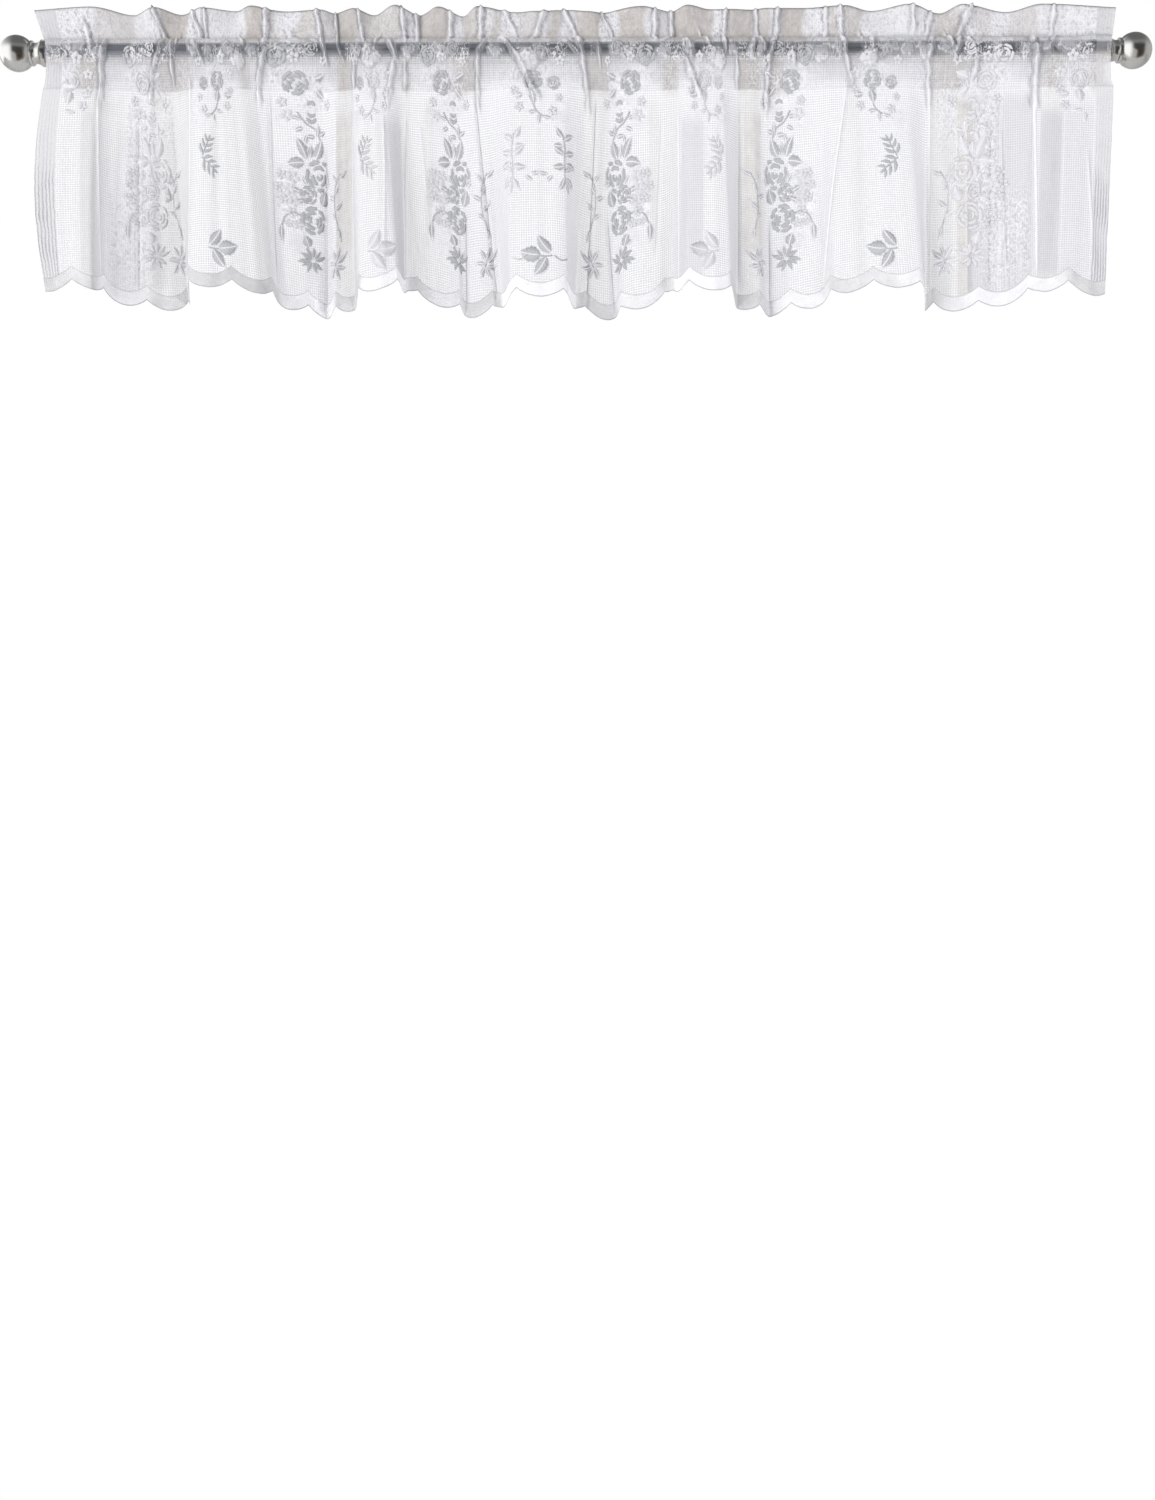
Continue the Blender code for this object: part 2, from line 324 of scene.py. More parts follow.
# Long creases in the hanging folds, as soft ridges, or troughs where the height is below 0
CREASES = (
    # along, cloth above the seam mm, the same at the other end, height mm, half width,
    # lightness of its painted highlight, darkness of its painted shade
    (1.33, -14, 1.58, -212, 2.0, 0.10, 1.0, 0.5),
    (2.50, -39, 2.46, -212, -2.6, 0.08, 0.3, 1.0),
    (4.50, 10, 4.62, -208, 1.4, 0.09, 0.8, 0.3),
    (7.11, -3, 6.90, -200, -1.4, 0.08, 0.4, 0.6),
    (8.26, -60, 8.15, -226, -1.8, 0.08, 0.3, 0.8),
    (9.60, 10, 9.22, -220, -1.5, 0.08, 0.5, 0.5),
    (10.68, -33, 10.40, -206, 1.2, 0.08, 0.5, 0.5),
    (11.46, -33, 11.30, -221, 1.5, 0.08, 0.8, 0.5),
    (11.86, -35, 12.02, -161, 1.0, 0.08, 0.2, 0.3),
    (13.54, -10, 13.78, -224, -2.2, 0.08, 0.7, 0.9),
    (13.02, -130, 12.90, -228, -2.0, 0.08, 0.2, 0.9),
    (16.74, -10, 16.68, -227, -2.2, 0.08, 0.7, 0.9),
    (17.20, -130, 17.42, -230, -2.0, 0.08, 0.2, 0.8),
    (18.60, -30, 18.42, -175, -1.2, 0.08, 0.2, 0.5),
    (19.14, -34, 19.19, -230, 1.5, 0.08, 0.7, 0.4),
    (21.23, -20, 21.16, -205, -1.4, 0.08, 0.3, 0.6),
    (22.16, -140, 22.13, -229, -1.8, 0.08, 0.2, 0.8),
    (24.22, 0, 23.47, -203, 2.2, 0.10, 0.9, 0.5),
    (26.42, -10, 26.48, -221, 1.6, 0.09, 0.8, 0.4),
    (27.30, -30, 27.42, -221, 1.2, 0.08, 0.3, 0.5),
    (27.81, -40, 27.85, -208, -2.4, 0.08, 0.2, 1.0),
    (28.05, -38, 28.22, -216, -1.8, 0.08, 0.4, 0.6),
    (28.77, -10, 28.92, -209, 2.0, 0.10, 1.0, 0.5),
    (30.02, -80, 30.25, -205, 1.5, 0.08, 0.5, 0.6),
)
# Softness of the ends of a ridge and of a crease's marks, and how far a mark reaches
RIDGE_END = 0.014
CREASE_END = 0.03
CREASE_REACH = 0.003
# What the table's widths and heights are multiplied by, and the depth of a ridge's groove
RIDGE_WIDTH = 0.52
RIDGE_HEIGHT = 0.8
RIDGE_GROOVE = 0.18
# How much of a ridge shows, turned inwards, at the back of the pocket
BACK_RIDGE_SHARE = 0.4

# Puffs of cloth between the gathers on the rod
PUFFS = (
    # along, cloth above the seam mm, half width in scallops, half height mm, height mm
    (0.73, 47, 0.25, 9, 3),
    (1.28, 41, 0.22, 8, 4),
    (4.67, 46, 0.20, 9, 4),
    (5.16, 44, 0.18, 7, 4),
    (5.87, 44, 0.25, 9, 4),
    (6.27, 32, 0.22, 10, 5),
    (6.69, 41, 0.15, 7, 3),
    (7.47, 42, 0.30, 9, 3),
    (9.77, 44, 0.25, 8, 3),
    (10.30, 37, 0.30, 14, 6),
    (11.60, 41, 0.20, 8, 4),
    (12.52, 42, 0.35, 9, 3),
    (14.15, 41, 0.20, 7, 3),
    (15.01, 35, 0.38, 13, 6),
    (17.59, 42, 0.35, 9, 3),
    (18.67, 39, 0.20, 8, 4),
    (19.39, 48, 0.20, 9, 4),
    (20.44, 33, 0.30, 12, 6),
    (20.97, 43, 0.18, 9, 4),
    (21.62, 38, 0.15, 9, 3),
    (21.91, 43, 0.15, 9, 4),
    (23.47, 40, 0.35, 10, 3),
    (23.96, 45, 0.15, 8, 3),
    (24.78, 33, 0.25, 10, 5),
    (25.33, 44, 0.25, 9, 4),
    (25.80, 44, 0.22, 9, 4),
    (26.20, 41, 0.20, 10, 5),
    (26.75, 44, 0.25, 8, 3),
    (28.61, 44, 0.20, 9, 4),
    (28.92, 45, 0.20, 8, 3),
    (29.51, 47, 0.30, 9, 3),
)

# Panels of the header that show both layers in a warm tone, and not the lace's white
HEADER_PANELS = (
    # first, last, warmth
    (1.22, 2.46, 0.6),
    (3.38, 4.38, 1.0),
    (6.43, 6.98, 1.0),
    (7.09, 7.27, 0.8),
    (7.62, 8.01, 0.8),
    (8.10, 8.65, 0.5),
    (8.78, 9.78, 1.0),
    (9.98, 11.31, 0.8),
    (11.83, 12.67, 1.0),
    (13.14, 13.71, 0.9),
    (14.06, 14.29, 0.9),
    (14.76, 15.27, 0.7),
    (15.46, 15.74, 0.9),
    (16.11, 16.92, 1.0),
    (17.54, 18.27, 1.0),
    (18.55, 18.90, 0.4),
    (18.94, 20.34, 1.0),
    (20.77, 21.76, 1.0),
    (21.86, 22.22, 0.9),
    (22.50, 23.14, 1.0),
    (23.70, 23.96, 0.9),
    (24.19, 24.65, 0.9),
    (26.51, 27.14, 0.9),
    (27.43, 27.83, 0.6),
    (28.21, 28.84, 0.6),
    (30.25, 30.55, 0.6),
)

# Panels under the rod where the pocket's back shows, and folds seen from their back
POCKET_PANELS = (
    # first, last, warmth, warmth further down
    (0.75, 1.35, 0.8, 0.3),
    (3.30, 4.55, 0.7, 0.3),
    (6.30, 6.60, 0.7, 0.2),
    (8.80, 9.50, 0.9, 0.5),
    (11.38, 11.62, 0.7, 0.3),
    (12.80, 13.60, 0.8, 0.0),
    (16.40, 17.25, 0.8, 0.3),
    (18.65, 19.10, 0.8, 0.2),
    (21.20, 21.95, 0.9, 0.5),
    (22.15, 22.60, 0.7, 0.0),
    (24.25, 24.50, 0.7, 0.3),
    (26.40, 27.30, 0.7, 0.3),
    (28.95, 29.40, 0.8, 0.3),
    (30.00, 30.45, 0.6, 0.0),
)

# Strips where a fold's back lies close behind the front, painted darker both for the doubled cloth
# and as painted shade of the receding fold
DOUBLED_STRIPS = (
    # first, last, upper and lower end below the seam mm, amount
    (0.90, 1.32, 26, 222, 0.55),
    (1.90, 2.46, 40, 232, 0.35),
    (2.48, 2.62, 36, 216, 0.25),
    (6.90, 7.12, 30, 216, 0.30),
    (10.60, 11.28, 36, 222, 0.60),
    (12.92, 13.02, 120, 230, 0.35),
    (17.24, 17.36, 120, 230, 0.35),
    (19.24, 19.95, 36, 222, 0.65),
    (21.00, 21.30, 12, 222, 0.35),
    (22.14, 22.60, 20, 230, 0.25),
    (26.45, 27.05, 0, 226, 0.35),
    (27.36, 28.00, 4, 230, 0.90),
    (28.06, 28.74, 4, 226, 0.75),
    (28.90, 29.42, 26, 218, 0.90),
    (29.46, 30.12, 20, 222, 0.55),
)

# Strips where closely worked ground lies in a fold
WORKED_STRIPS = (
    # first, last, upper and lower end below the seam mm, closeness
    (2.15, 2.98, 8, 120, 0.55),
    (1.75, 2.98, 110, 212, 0.50),
    (3.30, 3.75, -10, 60, 0.50),
    (26.55, 27.10, -10, 60, 0.50),
    (27.45, 27.98, 8, 130, 0.55),
    (27.70, 28.72, 110, 214, 0.50),
)

# Strips where the back of a fold shows in the warm tone, with its motifs
WARM_STRIPS = (
    # first and last at the upper end, at the lower end, ends below the seam mm, amount
    (3.00, 3.60, 2.75, 3.07, 0, 214, 0.35),
    (8.71, 9.54, 8.66, 9.18, 24, 172, 0.85),
    (11.98, 12.24, 11.86, 12.00, 12, 168, 0.40),
    (18.30, 18.56, 18.36, 18.50, 12, 168, 0.40),
    (21.38, 21.97, 21.32, 21.81, 24, 172, 0.90),
    (27.06, 27.39, 27.20, 27.52, 12, 224, 0.95),
)

# Painted light and shade on the hem band: how white it is painted, whiter where its folds face the
# light and greyer where they face away
BAND_LIGHTING = (
    # along, painted lightness
    (0.00, 0.30),
    (1.20, 0.45),
    (1.75, 0.90),
    (2.60, 0.85),
    (2.85, 0.35),
    (4.60, 0.35),
    (4.75, 0.45),
    (5.55, 0.30),
    (5.75, 0.30),
    (6.85, 0.30),
    (7.05, 0.85),
    (8.50, 0.80),
    (8.75, 0.30),
    (9.70, 0.35),
    (9.95, 0.90),
    (11.30, 0.85),
    (11.60, 0.45),
    (12.00, 0.80),
    (12.80, 0.60),
    (13.00, 0.30),
    (13.80, 0.35),
    (14.05, 0.95),
    (15.10, 1.00),
    (16.30, 0.95),
    (16.60, 0.35),
    (17.40, 0.40),
    (17.60, 0.80),
    (18.80, 0.50),
    (19.05, 0.95),
    (20.50, 0.85),
    (20.75, 0.30),
    (22.00, 0.40),
    (22.40, 0.70),
    (23.30, 0.85),
    (23.70, 0.50),
    (25.00, 0.55),
    (25.30, 0.75),
    (26.30, 0.70),
    (26.50, 0.45),
    (27.20, 0.55),
    (27.50, 0.85),
    (29.50, 0.75),
    (29.80, 0.35),
    (30.55, 0.30),
)

# How close the cloth looks: below 0 the rod shows through it, at 1 nothing does
CLOSENESS = (
    # cloth above the seam mm, front layer, back layer
    (-60, 0.00, 0.0),
    (-30, 0.05, 0.0),
    (-8, 0.16, 0.0),
    (0, 0.30, 0.5),
    (6, 0.42, 0.5),
    (20, 0.64, 0.6),
    (28, 0.55, 0.6),
    (33, 0.25, 0.5),
    (37, -0.55, 0.5),
    (40, -0.85, 0.5),
    (49, -0.88, 0.5),
    (52, 0.75, 0.6),
    (60, 0.86, 0.8),
    (104, 0.88, 0.9),
)
# Cloth above the seam where the header begins to the eye, as the rod's top hides its foot
HEADER_LOOK = 0.0495
# Width of the ribbed hems at the two sides. Over the rod's lower half the cloth is painted warm, a
# painted reflection standing in for the rod's warm lower half seen through it, most strongly on
# these hems
SIDE_HEM = 0.0205

# Stretches where the motifs are painted as white as the net: painted light where the folds catch
# the light
PALE_MOTIFS = (
    # first, last, paleness
    (0.00, 1.50, 0.5),
    (2.30, 3.70, 0.8),
    (9.95, 10.80, 0.6),
    (14.40, 14.75, 0.7),
    (19.85, 20.60, 0.6),
    (26.90, 28.40, 0.8),
    (29.20, 30.55, 0.5),
)

# Closely worked ground beside a column of roses: across and down from the column's
# middle in millimetres, half width, half height, closeness
COLUMN_GROUNDS = (
    (-26, 108, 16, 34, 1.0),
    (-16, 155, 12, 20, 0.5),
    (-24, 26, 14, 16, 0.5),
    (4, 2, 26, 26, 0.8),
    (-14, -42, 22, 13, 1.0),
    (-20, -14, 26, 15, 0.7),
)
GAP_GROUNDS = (
    (2, -6, 20, 20, 0.7),
    (-28, 28, 12, 18, 0.5),
    (0, -42, 15, 11, 0.8),
    (4, -20, 30, 13, 0.6),
)

# Fine grid of the cloth
COLUMNS = 1120
BACK_ROWS = 15
HEADER_ROWS = 12
POCKET_ROWS = 29
HANG_ROWS = 33
# Above 1, rows of the hanging cloth are closer near the seam than near the hem
HANG_ROW_POWER = 1.12

# The pocket's ends are drawn in beside the finials
DRAWN_IN = 0.006
DRAWN_IN_RUN = 0.6


def fair(stations, values, at):
    """Values at `at` on a smooth curve through the table that never overshoots it."""
    steps = np.diff(stations)
    rises = np.diff(values) / steps
    slopes = np.zeros(len(values))
    slopes[0] = rises[0]
    slopes[-1] = rises[-1]
    for i in range(1, len(values) - 1):
        if rises[i - 1] * rises[i] > 0:
            before = 2 * steps[i] + steps[i - 1]
            after = steps[i] + 2 * steps[i - 1]
            slopes[i] = (before + after) / (before / rises[i - 1] + after / rises[i])
    place = np.clip(np.searchsorted(stations, at, side="right") - 1, 0, len(steps) - 1)
    span = steps[place]
    t = (at - stations[place]) / span
    return ((1 + 2 * t) * (1 - t) ** 2 * values[place]
            + t * (1 - t) ** 2 * span * slopes[place]
            + t * t * (3 - 2 * t) * values[place + 1]
            + t * t * (t - 1) * span * slopes[place + 1])


def curves(table, at, station_unit=1.0, unit=MM):
    """Values at `at` of each column of a table but the first, which holds the stations."""
    stations, *columns = np.array(table, dtype=float).T
    return [fair(stations * station_unit, column * unit, at) for column in columns]


def ramp(values):
    """Smooth rise from 0 at 0 to 1 at 1."""
    t = np.clip(values, 0.0, 1.0)
    return t * t * (3 - 2 * t)


def window(values, first, last, soft):
    """1 between first and last, with soft ends."""
    return ramp((values - first) / soft + 0.5) * ramp((last - values) / soft + 0.5)


def bell(values, middle, width):
    """1 at the middle, and close to 0 at twice the width from it."""
    return np.exp(-((values - middle) / width) ** 2)


def stretch_amounts(table, along, soft):
    """The largest amount that a table's stretches of the cloth have at each place."""
    most = np.zeros(along.shape)
    for first, last, amount in table:
        most = np.maximum(most, amount * window(along, first, last, soft))
    return most


def strip_amounts(table, along, down, soft, soft_end):
    """The same for a table of strips, which also have an upper and a lower end."""
    most = np.zeros(along.shape)
    for first, last, upper, lower, amount in table:
        most = np.maximum(most, amount * window(along, first, last, soft)
                          * window(down, upper * MM, lower * MM, soft_end))
    return most


def scallop(along):
    """Length of cloth below the notches' level."""
    phase = (along - LEFT_PART_SCALLOP) % 1.0
    return SCALLOP_DEPTH * np.sin(np.pi * phase) ** SCALLOP_ROUNDNESS


def hang_length(along):
    """Cloth from the pocket's seam to the scalloped edge."""
    return NOTCH_LENGTH + scallop(along)


def beside(line, along, above, soft):
    """Scallops to the right of a line on the cloth, and 1 between its ends, softly."""
    start, high, end, low = line
    t = (high * MM - above) / ((high - low) * MM)
    return along - start - (end - start) * t, window(above, low * MM, high * MM, soft)


def hump(run):
    """A rounded rise that is 1 high in its middle and 0 at its half width."""
    return np.cos(np.pi / 2 * np.clip(run, 0.0, 1.0)) ** 1.5


def ridges(along, above):
    """How far ridges, creases and puffs stand out, and how near a crest and a foot is, where the
    net paints a highlight on crests and shade at feet.
    """
    out, crest, foot = (np.zeros(along.shape) for _ in range(3))
    along = along + 0.010 * np.sin(310 * above + 5 * along) + 0.006 * np.sin(730 * above)
    for *line, height, half in RIDGES:
        away, fade = beside(line, along, above, RIDGE_END)
        half = half * RIDGE_WIDTH * (1 + 0.25 * np.sin(260 * above + 7 * line[0]))
        run = np.abs(away) / half
        peak = hump(run)
        groove = np.sin(np.pi * np.clip(run - 1, 0.0, 1.0))
        out += height * RIDGE_HEIGHT * MM * (peak - RIDGE_GROOVE * groove) * fade
        strength = fade * min(1.0, 0.2 + height / 5)
        crest = np.maximum(crest, peak ** 1.5 * strength)
        foot = np.maximum(foot, bell(run, 1.2, 0.42) * strength)
    for *line, height, half, _, _ in CREASES:
        away, fade = beside(line, along, above, RIDGE_END)
        out += height * MM * hump(np.abs(away) / half) * fade
    rise = above + 0.0016 * np.sin(11 * along + 1) + 0.0008 * np.sin(37 * along)
    for middle, level, half, tall, height in PUFFS:
        across = (along - middle - 0.018 * np.sin(900 * above + 9 * middle)) / half
        r = np.hypot(across, (rise - level * MM) / (tall * MM))
        r = r * (1 + 0.13 * np.sin(3 * np.arctan2(rise - level * MM, across * 0.01) + level))
        dome = np.clip(1 - r * r, 0.0, 1.0)
        out += height * MM * dome ** 0.7
        crest = np.maximum(crest, np.maximum(0.62 * dome ** 0.4, bell(r, 0.78, 0.14)))
        foot = np.maximum(foot, bell(r, 1.0, 0.16))
    return out, crest, foot * (1 - crest)


def crease_marks(along, above):
    """Metres to the right of the nearest crease, and how strong its painted highlight and its
    painted shade are.
    """
    nearest = np.full(along.shape, 1.0)
    light, dark = np.zeros(along.shape), np.zeros(along.shape)
    for *line, _, _, lightness, darkness in CREASES:
        away, fade = beside(line, along, above, CREASE_END)
        away = away * SCALLOP_PITCH
        fade = fade * ramp(2 - np.abs(away) / CREASE_REACH)
        nearest = np.where((fade > 0) & (np.abs(away) < np.abs(nearest)), away, nearest)
        light = np.maximum(light, lightness * fade)
        dark = np.maximum(dark, darkness * fade)
    return nearest, light, dark


def ripple(along, down):
    """Slight waviness of thin cloth."""
    waves = ((0.83, 0.3, 1.0), (1.71, 2.1, 0.6), (2.93, 4.4, 0.35))
    height = sum(tall * np.sin(2 * np.pi * rate * along + phase + 9 * down)
                 for rate, phase, tall in waves)
    return 0.0008 * height


def layer_and_rise(down):
    """Whether the cloth is behind the rod, and how far it is above the seam."""
    rise = np.minimum(-down, 2 * RISE)
    behind = rise > RISE
    return behind, np.where(behind, 2 * RISE - rise, rise)


def lay_cloth(along, down):
    """Points of the hung cloth's middle surface."""
    along = np.clip(np.asarray(along, dtype=float), 0.0, SCALLOPS)
    down = np.asarray(down, dtype=float)
    share = np.clip(down / hang_length(along), 0.0, 1.0)
    hem_x, hem_out, hem_drop = curves(FOLDS, along)
    hem_z = NOTCH_Z - hem_drop - scallop(along)
    (rod_x,) = curves(ON_ROD, along)
    swing, crest_dip = curves(RUFFLE, along)
    crest_z = CREST_Z - crest_dip
    behind, above = layer_and_rise(down)
    side = np.where(behind, -1.0, 1.0)
    raised = ridges(along, above)[0]
    header_share = ramp((above - FOOT + 0.009) / 0.010)
    raised *= np.where(behind, header_share - BACK_RIDGE_SHARE * (1 - header_share), 1.0)

    # The hanging front
    base = SEAM_FORWARD + SEAM_SHARE_OF_FOLDS * hem_out
    bulge = LEFT_EDGE_BULGE * np.sin(np.pi * share) * np.exp(-along / LEFT_EDGE_RUN)
    hang_x = rod_x + (hem_x - rod_x) * share - bulge
    hang_out = base + (hem_out - base) * share ** DEPTH_GROWTH
    hang_z = SEAM_Z + (hem_z - SEAM_Z) * share

    # The pocket round the rod
    room = COLLAR_ROOM * ramp((along - COLLAR_ROOM_START) / COLLAR_ROOM_RUN)
    in_pocket = np.clip(above, 0.0, FOOT)
    round_out, round_z = curves(POCKET, in_pocket, MM)
    seam_fade = np.clip(1 - in_pocket / UNDER_ROD, 0.0, 1.0)
    room_here = room * ramp((in_pocket - 0.7 * UNDER_ROD) / UNDER_ROD)
    pocket_out = (side * (round_out + room_here)
                  + (base - LAYER_SPACING * behind) * seam_fade)
    pocket_z = round_z + room_here
    drawn = DRAWN_IN * np.sin(np.pi * in_pocket / FOOT) ** 0.6 * (
        np.exp(-along / DRAWN_IN_RUN) - np.exp((along - SCALLOPS) / DRAWN_IN_RUN))

    # The header's two layers
    up = np.clip((above - FOOT) / HEADER, 0.0, 1.0)
    lean = (CREST_LEAN_RIGHT * np.exp((along - SCALLOPS) / CREST_LEAN_RUN)
            - CREST_LEAN_LEFT * np.exp(-along / CREST_LEAN_RUN))
    to_crest = np.clip((above - RISE + LAYER_SPACING) / LAYER_SPACING, 0.0, 1.0)
    header_out = (swing * (1 - FOOT_SWING) * up
                  + side * LAYER_SPACING / 2 * np.sqrt(1 - to_crest ** 2))
    header_z = FOOT_Z + room + (crest_z - FOOT_Z - room) * up

    in_header = above >= FOOT
    hanging = down > 0
    x = np.where(hanging, hang_x, rod_x + np.where(in_header, lean * up, drawn))
    out = np.where(hanging, hang_out, np.where(in_header, header_out, pocket_out))
    z = np.where(hanging, hang_z, np.where(in_header, header_z, pocket_z))
    out = out + raised + ripple(along, down) * np.clip(share * 3, 0.0, 1.0)
    return np.stack([x, -out, z], axis=-1)


def deselect():
    """Leave nothing selected."""
    bpy.ops.object.select_all(action="DESELECT")


def make_active(item):
    """Select one object alone."""
    deselect()
    item.select_set(True)
    bpy.context.view_layer.objects.active = item


def link_mesh(name, points, faces, edges=()):
    """A new object from points, and faces or edges between them."""
    mesh = bpy.data.meshes.new(name)
    mesh.from_pydata([tuple(p) for p in points], edges, faces)
    mesh.validate()
    item = bpy.data.objects.new(name, mesh)
    bpy.context.scene.collection.objects.link(item)
    return item


def add_values(item, name, values):
    """A number for each vertex, for the materials to read."""
    layer = item.data.attributes.new(name, "FLOAT", "POINT")
    layer.data.foreach_set("value", np.asarray(values, dtype=np.float32))


def add_flat_map(item, flat):
    """A UV map that holds each vertex's place on the flat cloth, in metres."""
    layer = item.data.uv_layers.new(name="flat")
    corners = np.zeros(len(item.data.loops), dtype=np.int32)
    item.data.loops.foreach_get("vertex_index", corners)
    layer.data.foreach_set("uv", flat[corners].astype(np.float32).ravel())


def tinted(colour, factor):
    """A colour made darker or lighter, up to white."""
    return tuple(min(1.0, factor * c) for c in colour)


class Number:
    """A value in a shader. Arithmetic on it adds Math nodes."""

    def __init__(self, shader, socket):
        self.shader = shader
        self.socket = socket

    def maths(self, operation, *others):
        sockets = dict(enumerate((self, *others)))
        return self.shader.number("ShaderNodeMath", {"operation": operation}, sockets)

    def __add__(self, other):
        return self.maths("ADD", other)

    def __mul__(self, other):
        return self.maths("MULTIPLY", other)

    def __sub__(self, other):
        return self.maths("SUBTRACT", other)

    def __truediv__(self, other):
        return self.maths("DIVIDE", other)

    __radd__ = __add__
    __rmul__ = __mul__

    def __rsub__(self, other):
        return self.shader.number(
            "ShaderNodeMath", {"operation": "SUBTRACT"}, {0: other, 1: self})

    def least(self, other):
        return self.maths("MINIMUM", other)

    def most(self, other):
        return self.maths("MAXIMUM", other)

    def fract(self):
        return self.maths("FRACT")

    def size(self):
        return self.maths("ABSOLUTE")

    def step(self, low, high):
        """Smooth rise from 0 at low to 1 at high."""
        return self.shader.number(
            "ShaderNodeMapRange", {"interpolation_type": "SMOOTHSTEP"},
            {0: self, 1: low, 2: high, 3: 0.0, 4: 1.0})

    def fall(self, low, high):
        """Smooth fall from 1 at low to 0 at high."""
        return 1 - self.step(low, high)

    def towards(self, target, share):
        """The value moved a share of the way to another."""
        return self + (target - self) * share

    def wave(self):
        """0 in the middle of each whole step, and 1 between two."""
        return (self.fract() - 0.5).size() * 2


class Shader:
    """A node tree under construction."""

    def __init__(self, owner):
        owner.use_nodes = True
        self.owner = owner
        self.tree = owner.node_tree
        self.tree.nodes.clear()

    def node(self, kind, settings=None, sockets=None):
        """A node of a type, with its settings, then its sockets' values or links."""
        node = self.tree.nodes.new(kind)
        for name, value in (settings or {}).items():
            setattr(node, name, value)
        for name, value in (sockets or {}).items():
            socket = node.inputs[name]
            if isinstance(value, Number):
                value = value.socket
            if isinstance(value, bpy.types.NodeSocket):
                self.tree.links.new(value, socket)
            else:
                socket.default_value = value
        return node

    def number(self, kind, settings=None, sockets=None, output=0):
        """The same, as a Number from one of its outputs."""
        return Number(self, self.node(kind, settings, sockets).outputs[output])

    def mix(self, factor, first, second):
        """A colour between two."""
        colours = [c if isinstance(c, bpy.types.NodeSocket) else (*c, 1.0)
                   for c in (first, second)]
        return self.node("ShaderNodeMix", {"data_type": "RGBA"},
                         {0: factor, 6: colours[0], 7: colours[1]}).outputs[2]

    def attribute(self, name):
        """A number that the mesh carries."""
        return self.number("ShaderNodeAttribute", {"attribute_name": name}, output=2)

    def flat_place(self):
        """The place on the flat cloth, in metres across and down, and as a vector."""
        place = self.node("ShaderNodeUVMap", {"uv_map": "flat"}).outputs[0]
        parts = self.node("ShaderNodeSeparateXYZ", None, {0: place})
        return Number(self, parts.outputs[0]), Number(self, parts.outputs[1]), place

    def scaled(self, vector, scale):
        """A vector with its parts multiplied."""
        return self.node("ShaderNodeMapping", None, {0: vector, 3: scale}).outputs[0]

    def noise(self, vector, scale, detail=2.0, roughness=0.5):
        """Cloudy noise from 0 to 1."""
        return self.number(
            "ShaderNodeTexNoise", {"noise_dimensions": "3D"},
            {"Vector": vector, "Scale": scale, "Detail": detail, "Roughness": roughness})

    def cracks(self, vector, scale, width):
        """Fine lines between cells, 1 on a line."""
        edge = self.number(
            "ShaderNodeTexVoronoi", {"feature": "DISTANCE_TO_EDGE"},
            {"Vector": vector, "Scale": scale})
        return edge.fall(0.25 * width, width)

    def bump(self, height, strength, distance):
        """A normal from a height."""
        return self.node("ShaderNodeBump", None, {
            "Strength": strength, "Distance": distance, "Height": height}).outputs[0]

    def cloth(self, colour, glow, normal, through, cover=None):
        """Thin cloth: light falls on it and through it, and past it where it is open."""
        front = self.node("ShaderNodeBsdfPrincipled", None, {
            "Base Color": colour, "Roughness": 0.78, "Normal": normal,
            "Sheen Weight": 0.12, "Specular IOR Level": 0.22})
        back = self.node("ShaderNodeBsdfTranslucent", None,
                         {"Color": (*glow, 1.0), "Normal": normal})
        whole = self.blend(through, front, back)
        if cover is not None:
            clear = self.node("ShaderNodeBsdfTransparent")
            whole = self.blend(cover.least(1.0), clear, whole)
        return self.finish(whole)

    def blend(self, factor, first, second):
        """A surface between those of two nodes."""
        return self.node("ShaderNodeMixShader", None, {
            0: factor, 1: first.outputs[0], 2: second.outputs[0]})

    def finish(self, last):
        """Link the last node's surface to the output."""
        self.node("ShaderNodeOutputMaterial", None, {"Surface": last.outputs[0]})
        return self.owner


def new_shader(name):
    """A shader for a new material."""
    return Shader(bpy.data.materials.new(name))


# Pitches of the lace's fine marks, in metres
SIDE_RIB_PITCH = 0.0034
BAND_RIB_PITCH = 0.0009
STITCH_PITCH = 0.0026
KNIT_ROW = 0.0011
KNIT_COLUMN = 0.00125
VEIN_PITCH = 0.0042


